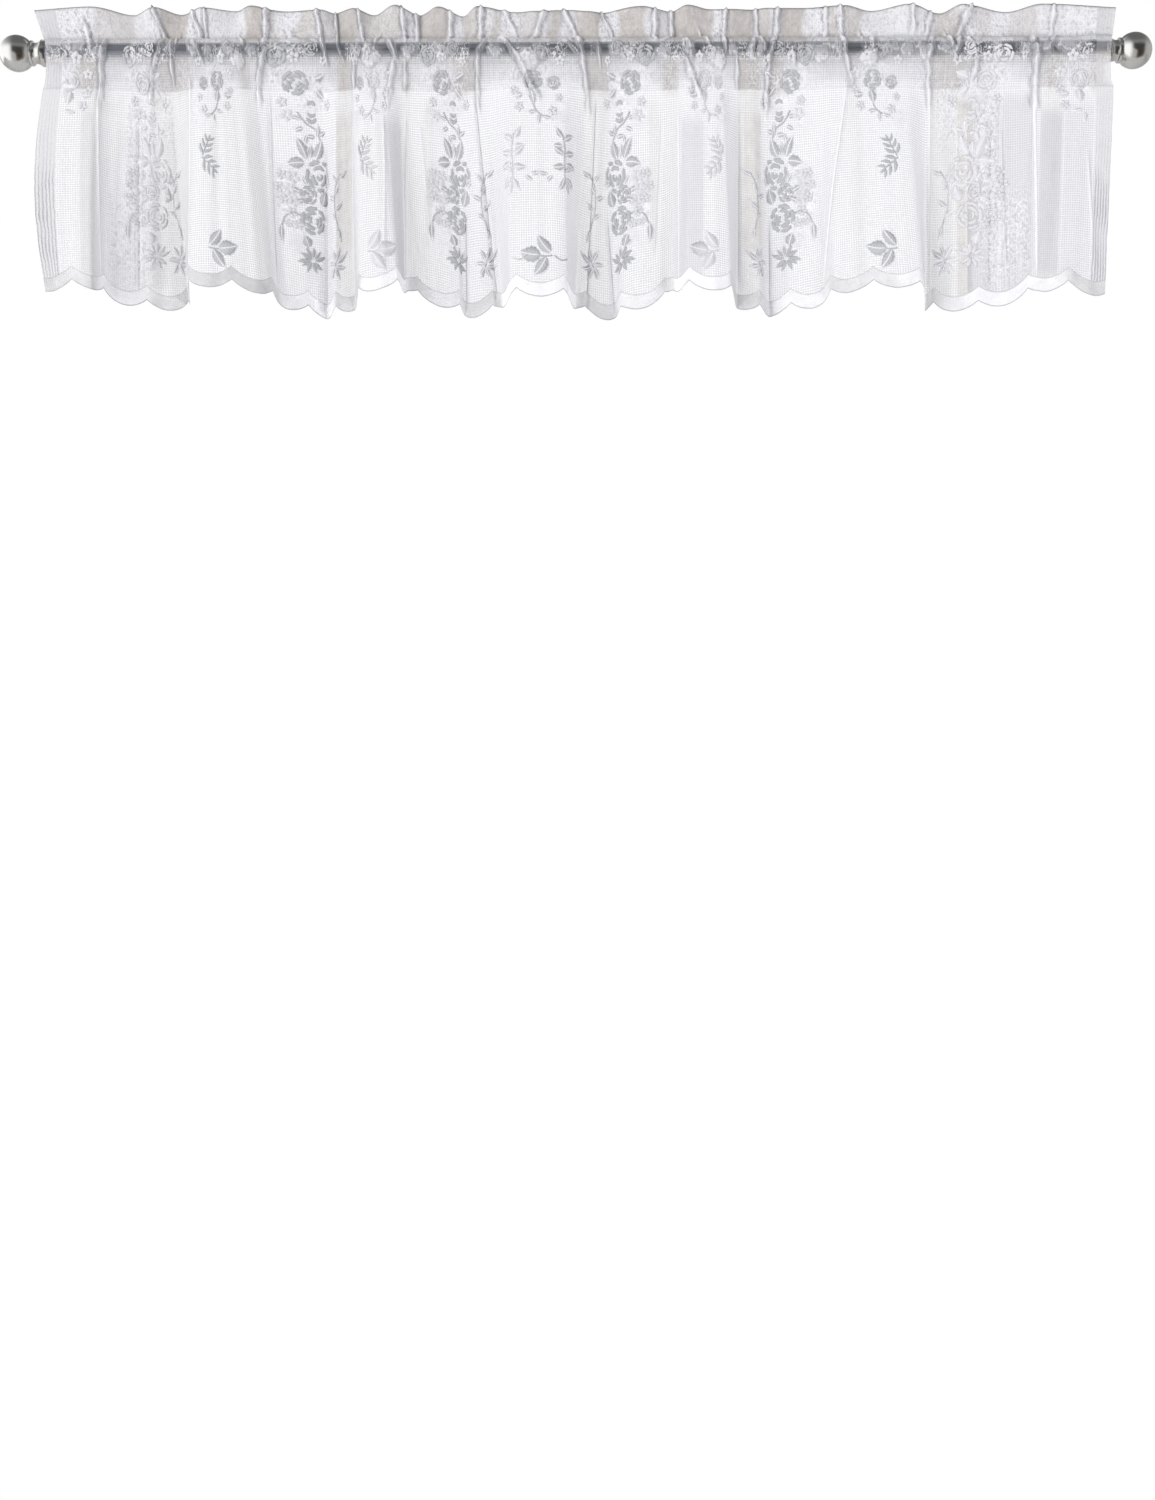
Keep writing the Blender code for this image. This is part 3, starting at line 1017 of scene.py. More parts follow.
def net_material(sizes, colours):
    """Sheer knitted net with its worked grounds, side hems and hem band, and with painted shade
    and painted highlights on its folds, ridges, puffs, crumples and creases.
    """
    s = new_shader("lace_net")
    across, down, place = s.flat_place()
    to_hem = s.attribute("to_hem")
    steep = s.attribute("steep")
    close = s.attribute("close")
    warm = s.attribute("warm")
    worked = s.attribute("worked")
    crumple = s.attribute("crumple")
    wander = s.noise(place, 150.0) - 0.5
    streak = s.noise(s.scaled(place, (620.0, 26.0, 1.0)), 1.0)
    drift = s.noise(place, 26.0)

    pillar = (across / sizes.net_pitch + wander * 0.4).wave()
    course = (down / sizes.net_pitch + wander * 0.4).wave()
    share = sizes.thread_share
    pillars = pillar.step(1 - share * 1.5, 1 - share * 0.4) * (0.35 + drift * 0.9)
    courses = course.step(1 - share * 1.4, 1 - share * 0.3) * (1.45 - drift * 0.9)
    thread = pillars.most(courses).least(1.0)
    cover = 0.52 + thread * 0.25 + (streak - 0.5) * 0.46
    # The holes are painted in the grey of painted shade, the threads in the net's colour
    colour = s.mix(thread, colours.net_shade, colours.net)

    ground = s.cracks(place, 150.0, 0.30)
    pits = s.cracks(place, 330.0, 0.16)
    over_rod = s.attribute("over_rod")
    cover = cover.towards(0.92 - over_rod * (0.72 - ground * 0.6), worked)
    worked_tone = s.mix(pits, colours.worked, tinted(colours.net, 0.62))
    cloudy = s.noise(place, 60.0, 3.0, 0.6).step(0.40, 0.62)
    worked_tone = s.mix(ground * (0.30 + cloudy * 0.60), worked_tone, colours.net)
    colour = s.mix(worked, colour, worked_tone)

    closer = close.most(0.0)
    cover = cover.towards(0.97, closer) + cover * close.least(0.0)
    white = s.mix((streak + 0.10) * 1.6, colours.net_shade, colours.net)
    colour = s.mix(closer * 0.8 * (1 - worked * 0.9), colour, white)
    mottle = (s.noise(place, 70.0, 3.0, 0.7) - 0.5) * 1.6 + (streak - 0.5) * 0.9
    warm_tone = s.mix(mottle + 0.5, tinted(colours.warm, 0.78),
                      tinted(colours.warm, 1.36))
    colour = s.mix(warm * (0.7 + wander * 0.4 + streak * 0.5), colour, warm_tone)

    crest = s.attribute("crest")
    foot = s.attribute("foot") * (1 - crest)
    # Fine crumples: the white squiggles are painted highlights and the dark streaks painted shade
    squiggle = s.noise(s.scaled(place, (1.0, 0.7, 1.0)), 230.0, 1.0)
    crumple_highlights = (1 - ((squiggle - 0.5).size() * 13.0).least(1.0)) * crumple
    crumple_shade = (squiggle - 0.58).step(0.0, 0.07) * crumple * (0.3 + over_rod * 0.7)
    # Partly the fold's back as doubled cloth, partly painted shade of the receding fold
    fold_back_and_shade = s.attribute("fold_back_and_shade") * (0.5 + course * 0.6) * (0.7 + streak * 0.6)
    colour = s.mix(fold_back_and_shade * 0.8, colour, colours.fold_back_and_shade)
    cover = cover.towards(0.96, fold_back_and_shade)
    # Painted shade: faces of the folds that turn sideways are painted darker
    colour = s.mix((steep * 0.5).least(0.45), colour, colours.shadow)
    # Painted shade at the feet of the ridges and round the puffs
    colour = s.mix(foot * 0.8, colour, colours.shadow)
    # Painted shade in the crumples' dark streaks
    colour = s.mix(crumple_shade, colour, tinted(colours.shadow, 0.6))
    from_crease = s.attribute("from_crease") + wander * 0.0008
    # Painted shade along dark creases, and a painted highlight strip beside light creases
    crease = (from_crease - 0.0005).size().fall(0.0005, 0.0013) * s.attribute("crease_shade")
    ridge = (from_crease + 0.0016).size().fall(0.0006, 0.0016) * s.attribute("crease_highlight")
    colour = s.mix(crease * 0.9, colour, colours.shadow)
    # Painted highlights in the net's colour: crumple squiggles, ridge and puff crests, and strips
    # beside light creases
    light = crumple_highlights.most(crest * (0.9 - crumple_shade * 0.8)).most(ridge)
    colour = s.mix(light, colour, colours.net)
    folded = (steep * 0.75).most(crumple_shade * 0.7).most(foot * 0.7).most(crease)
    cover = cover.towards(1, folded.most(light * 0.9))

    band = to_hem.fall(sizes.band_width - 0.0003, sizes.band_width + 0.0003)
    to_side = s.attribute("to_side")
    side_band = to_side.fall(sizes.side_width - 0.001, sizes.side_width)
    side_rib = (to_side / SIDE_RIB_PITCH + wander * 0.5 + drift * 1.5).wave() * (0.2 + drift * 1.2)
    # The hem band is painted lighter or darker as its folds face towards or away from the light
    band_painted_light = s.mix(s.attribute("band_lighting") + wander * 0.3 + (drift - 0.5) * 0.7,
                      colours.band, tinted(colours.net, 1.07))
    side_rib = side_rib * (0.45 + down.step(0.04, 0.15) * 0.55)
    # The rib grooves are painted darkest, in the grey of painted shade
    side_tone = s.mix(side_rib.step(0.10, 0.90), tinted(colours.net, 0.76),
                      tinted(colours.net_shade, 0.50))
    colour = s.mix(side_band * (0.9 - warm * 0.8), colour, side_tone)
    cover = cover.towards(0.90, side_band * (1 - over_rod * 0.75))
    colour = s.mix(band, colour, band_painted_light)
    cover = cover.towards(0.96, band)

    border = (to_hem - sizes.band_width + wander * 0.0012).size().fall(0.0002, 0.0009)
    rim = to_hem.fall(0.0005, 0.0018).most((down + RISE).size().fall(0.0003, 0.0014))
    rim = rim.most(border * 0.75)
    seams = (down + FOOT).size().fall(0.0002, 0.0007).most(down.size().fall(0.0002, 0.0007))
    stitch = seams * (across / STITCH_PITCH).wave().step(0.3, 0.5)
    colour = s.mix(rim.most(stitch * 0.5), colour, colours.shadow)
    cover = cover.most(rim)

    rib = (across / BAND_RIB_PITCH).wave()
    height = (thread * (1 - closer) * 0.5 + rib * (band + closer) * 0.2 + streak * 0.5
              + ground * worked * -0.8 + crumple * squiggle * 4.0)
    shade = (warm * 0.8).most(fold_back_and_shade * 0.8).most(folded).most(rim).most(side_band * 0.5)
    shade = shade.most(band * (1 - s.attribute("band_lighting"))).least(1.0)
    shade = shade.most(worked * 0.6)
    glow = tinted(colours.net, 0.80)
    return s.cloth(colour, glow, s.bump(height, 0.6, 0.0007), 0.26 * (1 - shade * 0.9), cover)


def motif_material(colours):
    """Close knitted lace, with a bright cord round each motif and along each leaf's rib."""
    s = new_shader("lace_motif")
    across, down, place = s.flat_place()
    edge = s.attribute("edge")
    rib = s.attribute("rib")
    up = s.attribute("up")
    pale = s.attribute("pale")
    wander = s.noise(place, 260.0) - 0.5
    knit = ((down / KNIT_ROW + wander * 0.5).wave() * 0.6
            + (across / KNIT_COLUMN).wave() * 0.4)
    fill = s.mix(knit * 0.5 + s.noise(place, 60.0) * 0.5,
                 tinted(colours.motif, 1.06), tinted(colours.motif, 0.88))
    outline = edge.fall(0.0011, 0.0021)
    vein = ((up - rib * 0.9) / VEIN_PITCH).wave().fall(0.10, 0.22) * 0.5
    vein = vein * rib.fall(0.004, 0.006)
    cord = (edge + wander * 0.0005).fall(0.0005, 0.0011).most(rib.fall(0.0004, 0.0009))
    cord = cord.most(vein)
    colour = s.mix(outline * 0.8, fill, colours.motif_rim)
    # Pale motifs: the blossoms' own paler tone, and painted light in the stretches where the folds
    # catch it
    colour = s.mix(pale, colour, tinted(colours.net, 0.93))
    colour = s.mix(cord.least(1.0), colour, colours.net)
    return s.cloth(colour, colours.motif, s.bump(knit * 0.4 + cord, 0.5, 0.0006), 0.14)


def metal_material(name, tone, dark, roughness, scale):
    """Brushed metal: fine turning marks and a faint cloudiness."""
    s = new_shader(name)
    place = s.node("ShaderNodeTexCoord").outputs[3]
    marks = s.noise(s.scaled(place, scale), 1.0, 4.0, 0.6)
    cloud = s.noise(place, 40.0)
    colour = s.mix(marks * 0.5 + cloud * 0.5, tuple(tone), tuple(dark))
    shine = s.node("ShaderNodeBsdfPrincipled", None, {
        "Base Color": colour, "Metallic": 1.0,
        "Roughness": marks * 0.12 + (roughness - 0.06),
        "Normal": s.bump(marks, 0.10, 0.0003)})
    return s.finish(shine)


class ValanceSizes(bpy.types.PropertyGroup):
    """Sizes of the lace"""

    net_pitch: FloatProperty(
        name="Net pitch", description="Distance between the net's threads",
        default=0.0026, unit="LENGTH")
    thread_share: FloatProperty(
        name="Thread share", description="Share of the net's pitch that its threads cover",
        default=0.40, subtype="FACTOR")
    band_width: FloatProperty(
        name="Hem band", description="Depth of the close hem band along the scallops",
        default=0.0155, unit="LENGTH")
    side_width: FloatProperty(
        name="Side hem", description="Width of the ribbed hems at the two sides",
        default=SIDE_HEM, unit="LENGTH")
    lace_thickness: FloatProperty(
        name="Motif thickness", description="Thickness of the close motifs",
        default=0.0013, unit="LENGTH")


class ValanceColours(bpy.types.PropertyGroup):
    """Colours of the cloth and the metal"""

    net: FloatVectorProperty(
        name="Net", description="Colour of the net's threads",
        default=(0.915, 0.91, 0.94), subtype="COLOR")
    worked: FloatVectorProperty(
        name="Worked ground", description="Colour of the closely worked ground",
        default=(0.60, 0.60, 0.62), subtype="COLOR")
    # Painted shade: a grey sheet in the net's holes and in the side hems' rib grooves, standing in
    # for the shaded background seen through them
    net_shade: FloatVectorProperty(
        name="Filament", description="Colour of the fine filament between the threads",
        default=(0.57, 0.575, 0.62), subtype="COLOR")
    warm: FloatVectorProperty(
        name="Doubled cloth", description="Colour where two plain layers lie together",
        default=(0.49, 0.46, 0.44), subtype="COLOR")
    # The fold's back: darker partly as doubled cloth and partly as painted shade of the receding
    # fold
    fold_back_and_shade: FloatVectorProperty(
        name="Fold's back", description="Colour where a fold's back lies behind the net",
        default=(0.50, 0.495, 0.525), subtype="COLOR")
    # Painted shade on sharp folds, ridge and puff feet, crumples and crease lines; also the real
    # colour of the bound edges and stitches
    shadow: FloatVectorProperty(
        name="Fold lines", description="Colour of bound edges and of sharp folds",
        default=(0.42, 0.42, 0.44), subtype="COLOR")
    # The hem band's grey where its folds are painted in shade
    band: FloatVectorProperty(
        name="Hem band", description="Colour of the close hem band",
        default=(0.47, 0.46, 0.47), subtype="COLOR")
    motif: FloatVectorProperty(
        name="Motif", description="Colour of the leaves and roses",
        default=(0.55, 0.555, 0.575), subtype="COLOR")
    motif_rim: FloatVectorProperty(
        name="Motif outline", description="Colour of the motifs' outlines",
        default=(0.40, 0.41, 0.43), subtype="COLOR")
    nickel: FloatVectorProperty(
        name="Nickel", description="Colour of the finials",
        default=(0.70, 0.69, 0.66), subtype="COLOR")
    steel: FloatVectorProperty(
        name="Steel", description="Colour of the rod",
        default=(0.37, 0.40, 0.45), subtype="COLOR")


class CameraPlace(bpy.types.PropertyGroup):
    """Where the camera stands"""

    distance: FloatProperty(
        name="Distance", description="Camera to the rod's axis, level", default=2.1,
        unit="LENGTH")
    height: FloatProperty(
        name="Height", description="Camera's height over the rod's axis", default=-0.8027,
        unit="LENGTH")
    frame_height: FloatProperty(
        name="Frame height", description="Height of the picture at the rod's distance",
        default=1.725, unit="LENGTH")
    roll: FloatProperty(
        name="Roll", description="Turn of the picture", default=-0.0027, unit="ROTATION")


def grounds(across, down):
    """How closely the ground is worked beside the motifs."""
    worked = np.zeros(across.shape)
    for middle, flip, between in motif_groups():
        for dx, dy, wide, tall, amount in GAP_GROUNDS if between else COLUMN_GROUNDS:
            r2 = (((across - middle - flip * dx * MM) / (wide * MM)) ** 2
                  + ((down - dy * MM) / (tall * MM)) ** 2)
            worked = np.maximum(worked, amount * ramp(1.6 - 1.3 * np.sqrt(r2)))
    return worked


def warmth(along, above):
    """How much of the warm tone of two layers lying together shows, with the warm painted
    reflection over the rod's lower half.
    """
    lean = along + 0.05 * np.sin(120 * above + 4 * along)
    header = stretch_amounts(HEADER_PANELS, lean, 0.16)
    pocket = np.zeros(along.shape)
    for first, last, amount, lower in POCKET_PANELS:
        shape = window(along, first, last, 0.26)
        under = ramp((0.042 - above) / 0.008) * ramp((above + 0.010) / 0.008)
        hung = lower * ramp((0.004 - above) / 0.008)
        pocket = np.maximum(pocket, shape * np.maximum(amount * under, hung))
    in_header = ramp((above - HEADER_LOOK) / 0.004)
    in_side_hem = np.minimum(along, SCALLOPS - along) * SCALLOP_PITCH < SIDE_HEM
    # Painted reflection: over the rod's lower half the cloth is painted warm, for the rod's warm
    # reflection seen through it
    plain = np.where(in_side_hem, 0.9, 0.35) * window(above, 0.026, 0.040, 0.008)
    warm = np.maximum(np.maximum(header, 0.12) * in_header, np.maximum(pocket, plain))
    for high_first, high_last, low_first, low_last, upper, lower, amount in WARM_STRIPS:
        share = (-above - upper * MM) / ((lower - upper) * MM)
        shape = window(along, high_first + (low_first - high_first) * share,
                       high_last + (low_last - high_last) * share, 0.05)
        warm = np.maximum(warm, amount * shape
                          * window(-above, upper * MM, lower * MM, 0.016))
    return warm


class VALANCE_OT_cloth(bpy.types.Operator):
    """Hang the sheer cloth on the rod"""

    bl_idname = "valance.cloth"
    bl_label = "Hang the cloth"

    def execute(self, context):
        scene = context.scene
        line = np.linspace(0.0, SCALLOPS, COLUMNS)
        upper = np.concatenate([
            np.linspace(-2 * RISE, -RISE, BACK_ROWS, endpoint=False),
            np.linspace(-RISE, -FOOT, HEADER_ROWS, endpoint=False),
            np.linspace(-FOOT, 0.0, POCKET_ROWS, endpoint=False)])
        shares = np.linspace(0.0, 1.0, HANG_ROWS) ** HANG_ROW_POWER
        along = np.tile(line, len(upper) + len(shares))
        down = np.concatenate([np.repeat(upper, COLUMNS),
                               np.outer(shares, hang_length(line)).ravel()])
        points = lay_cloth(along, down)
        rows = len(upper) + len(shares)
        faces = [(r * COLUMNS + c, (r + 1) * COLUMNS + c,
                  (r + 1) * COLUMNS + c + 1, r * COLUMNS + c + 1)
                 for r in range(rows - 1) for c in range(COLUMNS - 1)]
        cloth = link_mesh("lace_cloth", points, faces)
        self.add_notes(cloth, along, down)
        cloth.data.shade_smooth()
        cloth.data.materials.append(net_material(scene.valance_sizes, scene.valance_colours))
        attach(cloth, "root")
        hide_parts("valance")
        return {"FINISHED"}

    @staticmethod
    def add_notes(cloth, along, down):
        """What the material reads at each vertex."""
        across = along * SCALLOP_PITCH
        behind, rise = layer_and_rise(down)
        above = np.where(down > 0, -down, rise)
        add_flat_map(cloth, np.stack([across, down], axis=1))
        add_values(cloth, "to_hem", hang_length(along) - down)
        add_values(cloth, "to_side", np.minimum(across, CLOTH_WIDTH - across))
        normals = np.zeros(len(along) * 3, dtype=np.float32)
        cloth.data.vertex_normals.foreach_get("vector", normals)
        normals = normals.reshape(-1, 3)
        level = np.maximum(np.hypot(normals[:, 0], normals[:, 1]), 0.2)
        # steep: how far the surface turns sideways, which the net paints darker as painted shade
        add_values(cloth, "steep", (1 - np.abs(normals[:, 1]) / level) * (level > 0.3))
        front, back = curves(CLOSENESS, np.clip(above, -0.06, RISE), MM, 1.0)
        patchy = 0.5 + 0.5 * np.sin(3.7 * along + 1) * np.sin(1.3 * along)
        close = np.where(behind, back, front)
        close = close * np.where((above < 0.030) & ~behind, 0.45 + 0.55 * patchy, 1.0)
        warm = warmth(along, above)
        open_back = 1.3 * (1 - np.minimum(1.3 * warm, 1.0)) * ramp((0.026 - above) / 0.018)
        add_values(cloth, "close", close - open_back * behind)
        add_values(cloth, "warm", warm)
        in_header = ramp((above - HEADER_LOOK) / 0.004)
        worked = np.maximum(grounds(across, down), 0.75 * in_header * (1 - warm))
        strips = strip_amounts(WORKED_STRIPS, along, down, 0.3, 0.04)
        worked = np.maximum(worked, strips)
        add_values(cloth, "worked", worked * (1 - behind))
        over_rod = window(above, 0.034, HEADER_LOOK, 0.005)
        add_values(cloth, "over_rod", over_rod)
        # Where the net paints crumples, in painted highlight and painted shade
        waves = np.sin(2.1 * along) + np.sin(5.3 * along + 1) - 0.25
        crumple = (window(above, 0.030, HEADER_LOOK + 0.001, 0.006) * (1 - behind)
                   * np.clip(np.maximum(1.8 * waves, 1.8 * worked - 0.5), 0, 1))
        crest, foot = ridges(along, above)[1:]
        crumple = np.maximum(crumple, crest * over_rod)
        crumple = np.maximum(crumple, 0.9 * worked * window(above, 0.0, 0.034, 0.008))
        crumple = np.maximum(crumple, 1.3 * strips)
        laced = 0.45 * (1 - behind) * (0.6 + 0.4 * np.sin(4.3 * along + 2))
        crumple = np.maximum(crumple, laced * window(above, -0.004, 0.036, 0.012))
        header = (in_header * (1 - behind) * (1 - 0.75 * np.minimum(warm, 1.0))
                  * (0.75 + 0.25 * np.sin(1.9 * along)))
        add_values(cloth, "crumple", np.maximum(crumple, header))
        fold_back_and_shade = strip_amounts(DOUBLED_STRIPS, along, down, 0.06, 0.024)
        add_values(cloth, "fold_back_and_shade", fold_back_and_shade)
        (band_lighting,) = curves(BAND_LIGHTING, along, unit=1.0)
        add_values(cloth, "band_lighting", band_lighting)
        # crest and foot: where the net paints a highlight on crests and shade at feet
        add_values(cloth, "crest", crest)
        add_values(cloth, "foot", foot)
        # Crease marks: painted highlight and painted shade along the creases
        for name, values in zip(("from_crease", "crease_highlight", "crease_shade"),
                                crease_marks(along, above)):
            add_values(cloth, name, values)


# Strips with no half width above this are thin, and count as this far from their edge
THIN_STRIP = 0.0024
THIN_STRIP_EDGE = 0.0019
# Least distance of a motif's spine from the cloth's sides and from its scalloped edge
SIDE_LIMIT = 0.024
BAND_LIMIT = 0.0158
# Least half width of a strip, in millimetres
LEAST_HALF = 0.15


class Patches:
    """Thin flat strips of close lace, gathered up to be laid on the cloth together."""

    def __init__(self):
        self.flat = []
        self.notes = []
        self.faces = []

    def strip(self, spine, half, ribbed=False, pale=0.0):
        """A strip to both sides of a spine of flat places, in metres."""
        rim = 0.0 if half.max() > THIN_STRIP else THIN_STRIP_EDGE
        way = np.gradient(spine, axis=0)
        steps = np.linalg.norm(np.diff(spine, axis=0), axis=1)
        up = np.concatenate([[0.0], np.cumsum(steps)])
        way /= np.linalg.norm(way, axis=1)[:, None]
        normal = np.stack([-way[:, 1], way[:, 0]], axis=1)
        start = len(self.flat)
        count = len(spine)
        for side in (-1, 0, 1):
            self.flat.extend(spine + side * half[:, None] * normal)
            for i in range(count):
                edge = rim + (0.0 if side else half[i])
                rib = (half[i] if side else 0.0) if ribbed else 0.05
                self.notes.append((edge, rib, up[i], pale))
        for line in range(2):
            for i in range(count - 1):
                a = start + line * count + i
                self.faces.append((a, a + 1, a + 1 + count, a + count))

    def build(self, name, material, thickness):
        """Lay the strips on the cloth and give them their thickness."""
        flat = np.array(self.flat)
        notes = np.array(self.notes)
        along = flat[:, 0] / SCALLOP_PITCH
        item = link_mesh(name, lay_cloth(along, flat[:, 1]), self.faces)
        add_flat_map(item, flat)
        for column, label in enumerate(("edge", "rib", "up")):
            add_values(item, label, notes[:, column])
        # The blossoms' own paleness, and painted light on the motifs in the PALE_MOTIFS stretches
        pale = np.maximum(notes[:, 3], stretch_amounts(PALE_MOTIFS, along, 0.3))
        add_values(item, "pale", pale)
        item.data.shade_smooth()
        item.data.materials.append(material)
        make_active(item)
        thicken = item.modifiers.new("thickness", "SOLIDIFY")
        thicken.thickness = thickness
        thicken.offset = 0.0
        bpy.ops.object.modifier_apply(modifier=thicken.name)
        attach(item, "root")
        return item


class Group:
    """Motifs about a middle, in metres across the cloth, and mirrored if flip is -1.

    Their places from the middle and their sizes are millimetres.
    """

    def __init__(self, middle, flip):
        self.middle = middle
        self.flip = flip

    def leaf(self, patches, across, down, length, width, turn, ribbed=True, bend=0.05,
             pale=0.0):
        """A pointed leaf that grows from a place at an angle from straight up."""
        angle = math.radians(turn)
        steps = max(4, round(length / 2.2))
        t = np.linspace(0.0, 1.0, steps + 1)
        side = bend * length * np.sin(np.pi * t)
        x = t * length * math.sin(angle) + side * math.cos(angle)
        y = -t * length * math.cos(angle) + side * math.sin(angle)
        half = width / 2 * np.sin(np.pi * t ** 0.8) ** 0.85
        if ribbed:
            half = half * (1 + 0.14 * (np.arange(steps + 1) % 2))
        self.lay(patches, across + x, down + y, half, ribbed, pale)

    def stem(self, patches, places, width=1.5):
        """A stem through places."""
        t = np.linspace(0, 1, len(places))
        fine = np.linspace(0, 1, 4 * (len(places) - 1) + 1)
        x, y = (fair(t, values, fine) for values in np.array(places, dtype=float).T)
        self.lay(patches, x, y, np.full(len(fine), width / 2))

    def petals(self, patches, across, down, radius, turn, rows):
        """A flower of petals, each a piece of a ring."""
        for dx, dy, ring, first, sweep, thick in rows:
            steps = max(4, round(ring * radius * math.radians(sweep) / 2.4))
            t = np.linspace(0.0, 1.0, steps + 1)
            angle = np.radians(first + sweep * t + turn)
            wave = 1 + 0.05 * np.sin(5 * np.pi * t + first)
            x = across + radius * (dx + ring * wave * np.sin(angle))
            y = down + radius * (dy - ring * wave * np.cos(angle))
            half = radius * thick / 2 * (1 - np.abs(2 * t - 1) ** 3.5) ** 0.5
            self.lay(patches, x, y, half)

    def blossom(self, patches, across, down, radius):
        """A small flower of five petals."""
        for i in range(5):
            turn = 72 * i + 31 * across
            x = across + 0.18 * radius * math.sin(math.radians(turn))
            y = down - 0.18 * radius * math.cos(math.radians(turn))
            self.leaf(patches, x, y, 0.85 * radius, 0.75 * radius, turn, False, 0.0,
                      BLOSSOM_PALENESS)

    def fern(self, patches, across, down, length, turn, pairs):
        """A sprig with narrow leaflets in pairs."""
        angle = math.radians(turn)

        def at(share):
            return (across + share * length * math.sin(angle),
                    down - share * length * math.cos(angle))
        self.stem(patches, [at(0.0), at(0.4), at(0.85)], 1.2)
        for i in range(pairs):
            share = 0.14 + 0.60 * i / max(1, pairs - 1)
            long = length * (0.54 - 0.16 * i / pairs)
            for side in (-1, 1):
                self.leaf(patches, *at(share + 0.04 * side), long, long * 0.27,
                          turn + side * 46, False, 0.08 * side)
        self.leaf(patches, *at(0.78), length * 0.30, length * 0.10, turn, False)

    def lay(self, patches, x, y, half, ribbed=False, pale=0.0):
        """Add a strip along places x and y if it lies inside the hems."""
        across = self.middle + self.flip * x * MM
        down = y * MM
        hem = hang_length(across / SCALLOP_PITCH) - down
        inside = min(across.min(), CLOTH_WIDTH - across.max()) > SIDE_LIMIT
        if inside and hem.min() > BAND_LIMIT:
            patches.strip(np.stack([across, down], axis=1),
                          np.maximum(half, LEAST_HALF) * MM, ribbed, pale)


# Petals of an open rose, and of one seen from its side: middle as shares of the radius,
# ring, first angle, sweep, thickness
OPEN_ROSE = (
    (0.00, 0.00, 0.86, 8, 62, 0.27),
    (0.00, 0.00, 0.84, 76, 70, 0.30),
    (0.00, 0.02, 0.87, 152, 58, 0.26),
    (0.00, 0.00, 0.83, 216, 74, 0.31),
    (0.00, 0.00, 0.86, 296, 66, 0.27),
    (0.02, 0.00, 0.52, 30, 104, 0.28),
    (-0.02, 0.02, 0.51, 142, 92, 0.30),
    (0.00, -0.02, 0.53, 242, 120, 0.26),
    (0.13, 0.03, 0.19, 340, 190, 0.24),
    (-0.13, -0.02, 0.19, 165, 185, 0.24),
)
SIDE_ROSE = (
    (0.00, 0.00, 0.84, 200, 100, 0.34),
    (0.00, 0.00, 0.85, 52, 92, 0.32),
    (0.00, 0.08, 0.82, 150, 46, 0.34),
    (-0.03, -0.06, 0.82, 308, 60, 0.27),
    (0.05, -0.06, 0.82, 14, 32, 0.26),
    (0.02, 0.10, 0.48, 196, 96, 0.28),
    (0.04, 0.08, 0.49, 64, 116, 0.26),
    (0.00, -0.08, 0.46, 300, 118, 0.24),
    (0.03, 0.04, 0.18, 20, 280, 0.22),
)
BUD = (
    (0.00, -0.45, 0.42, 280, 160, 0.36),
    (0.00, 0.05, 0.46, 110, 140, 0.34),
    (0.00, 0.60, 0.50, 100, 160, 0.40),
)

REPEAT = 4.9
MIDDLE = 15.18

# A column of roses, from the column's middle and from the pocket's seam
COLUMN_LEAVES = (
    # across, down, length, width, turn
    (-5, 70, 24, 10.5, -24),
    (-1, 68, 14, 7.0, 2),
    (5, 69, 22, 12.0, 22),
    (1, 66, 11, 5.5, -8),
    (-7, 74, 18, 12.0, -102),
    (-12, 106, 12, 6.5, -70),
    (-9, 113, 13, 6.5, -120),
    (-5, 97, 11, 6.0, -34),
    (12, 117, 17, 14.0, 20),
    (-6, 162, 13, 12.0, -20),
    (-34, 142, 22, 6.5, 180),
    (8, -12, 16, 9.0, 70),
    (8, -2, 15, 8.0, 130),
    (-3, 45, 11, 5.0, 196),
    (8, 46, 13, 6.5, 4),
    (-9, 30, 10, 5.0, -72),
    (-7, 38, 9, 4.5, -116),
    (5, 47, 9, 4.5, -84),
    (11, 44, 9, 4.5, 66),
)
COLUMN_FAN = (
    # length, width, turn
    (15, 4.5, -104),
    (12, 4.5, -66),
    (11, 4.5, -30),
    (12, 5.5, 8),
    (13, 5.0, 44),
    (15, 4.5, 72),
    (12, 4.5, 126),
    (11, 4.0, 158),
    (12, 4.5, 206),
    (12, 4.0, 238),
)
COLUMN_VINE = (
    # across, down, length, width, turn
    (49, 90, 14, 5.2, 66),
    (43, 96, 14, 5.0, -40),
    (40, 108, 13, 5.2, 34),
    (40, 114, 15, 5.6, -66),
    (41, 124, 15, 5.6, 54),
    (43, 134, 13, 5.2, -56),
    (47, 144, 14, 5.0, 166),
    (42, 178, 17, 5.6, -32),
    (42, 176, 15, 5.4, 20),
    (43, 178, 18, 6.0, 58),
    (41, 180, 15, 5.4, -86),
    (42, 181, 14, 5.4, 106),
    (41, 182, 15, 5.4, 154),
    (40, 182, 14, 5.2, 214),
)
COLUMN_ROSES = (
    # across, down, radius, turn, kind
    (9, 86, 16.5, 0, 1),
    (-4, 107, 10.0, 100, 0),
    (1, 133, 15.0, 20, 0),
    (-12, -8, 13.0, 60, 0),
    (2, 20, 10.0, 0, 2),
    (-30, -36, 12.0, 0, 0),
    (6, -44, 9.0, 80, 1),
)
COLUMN_BLOSSOMS = (
    # across, down, radius
    (-20, 91, 8),
    (-31, 89, 6),
    (-24, 103, 7),
    (-34, 102, 6),
    (-20, 116, 7),
    (-30, 115, 6),
    (-22, 128, 6),
    (-16, 140, 6),
    (-26, 140, 5),
    (22, 94, 5),
    (-22, 26, 7),
    (-26, 12, 6),
    (24, 14, 6),
    (-12, -34, 6),
    (22, -30, 6),
)
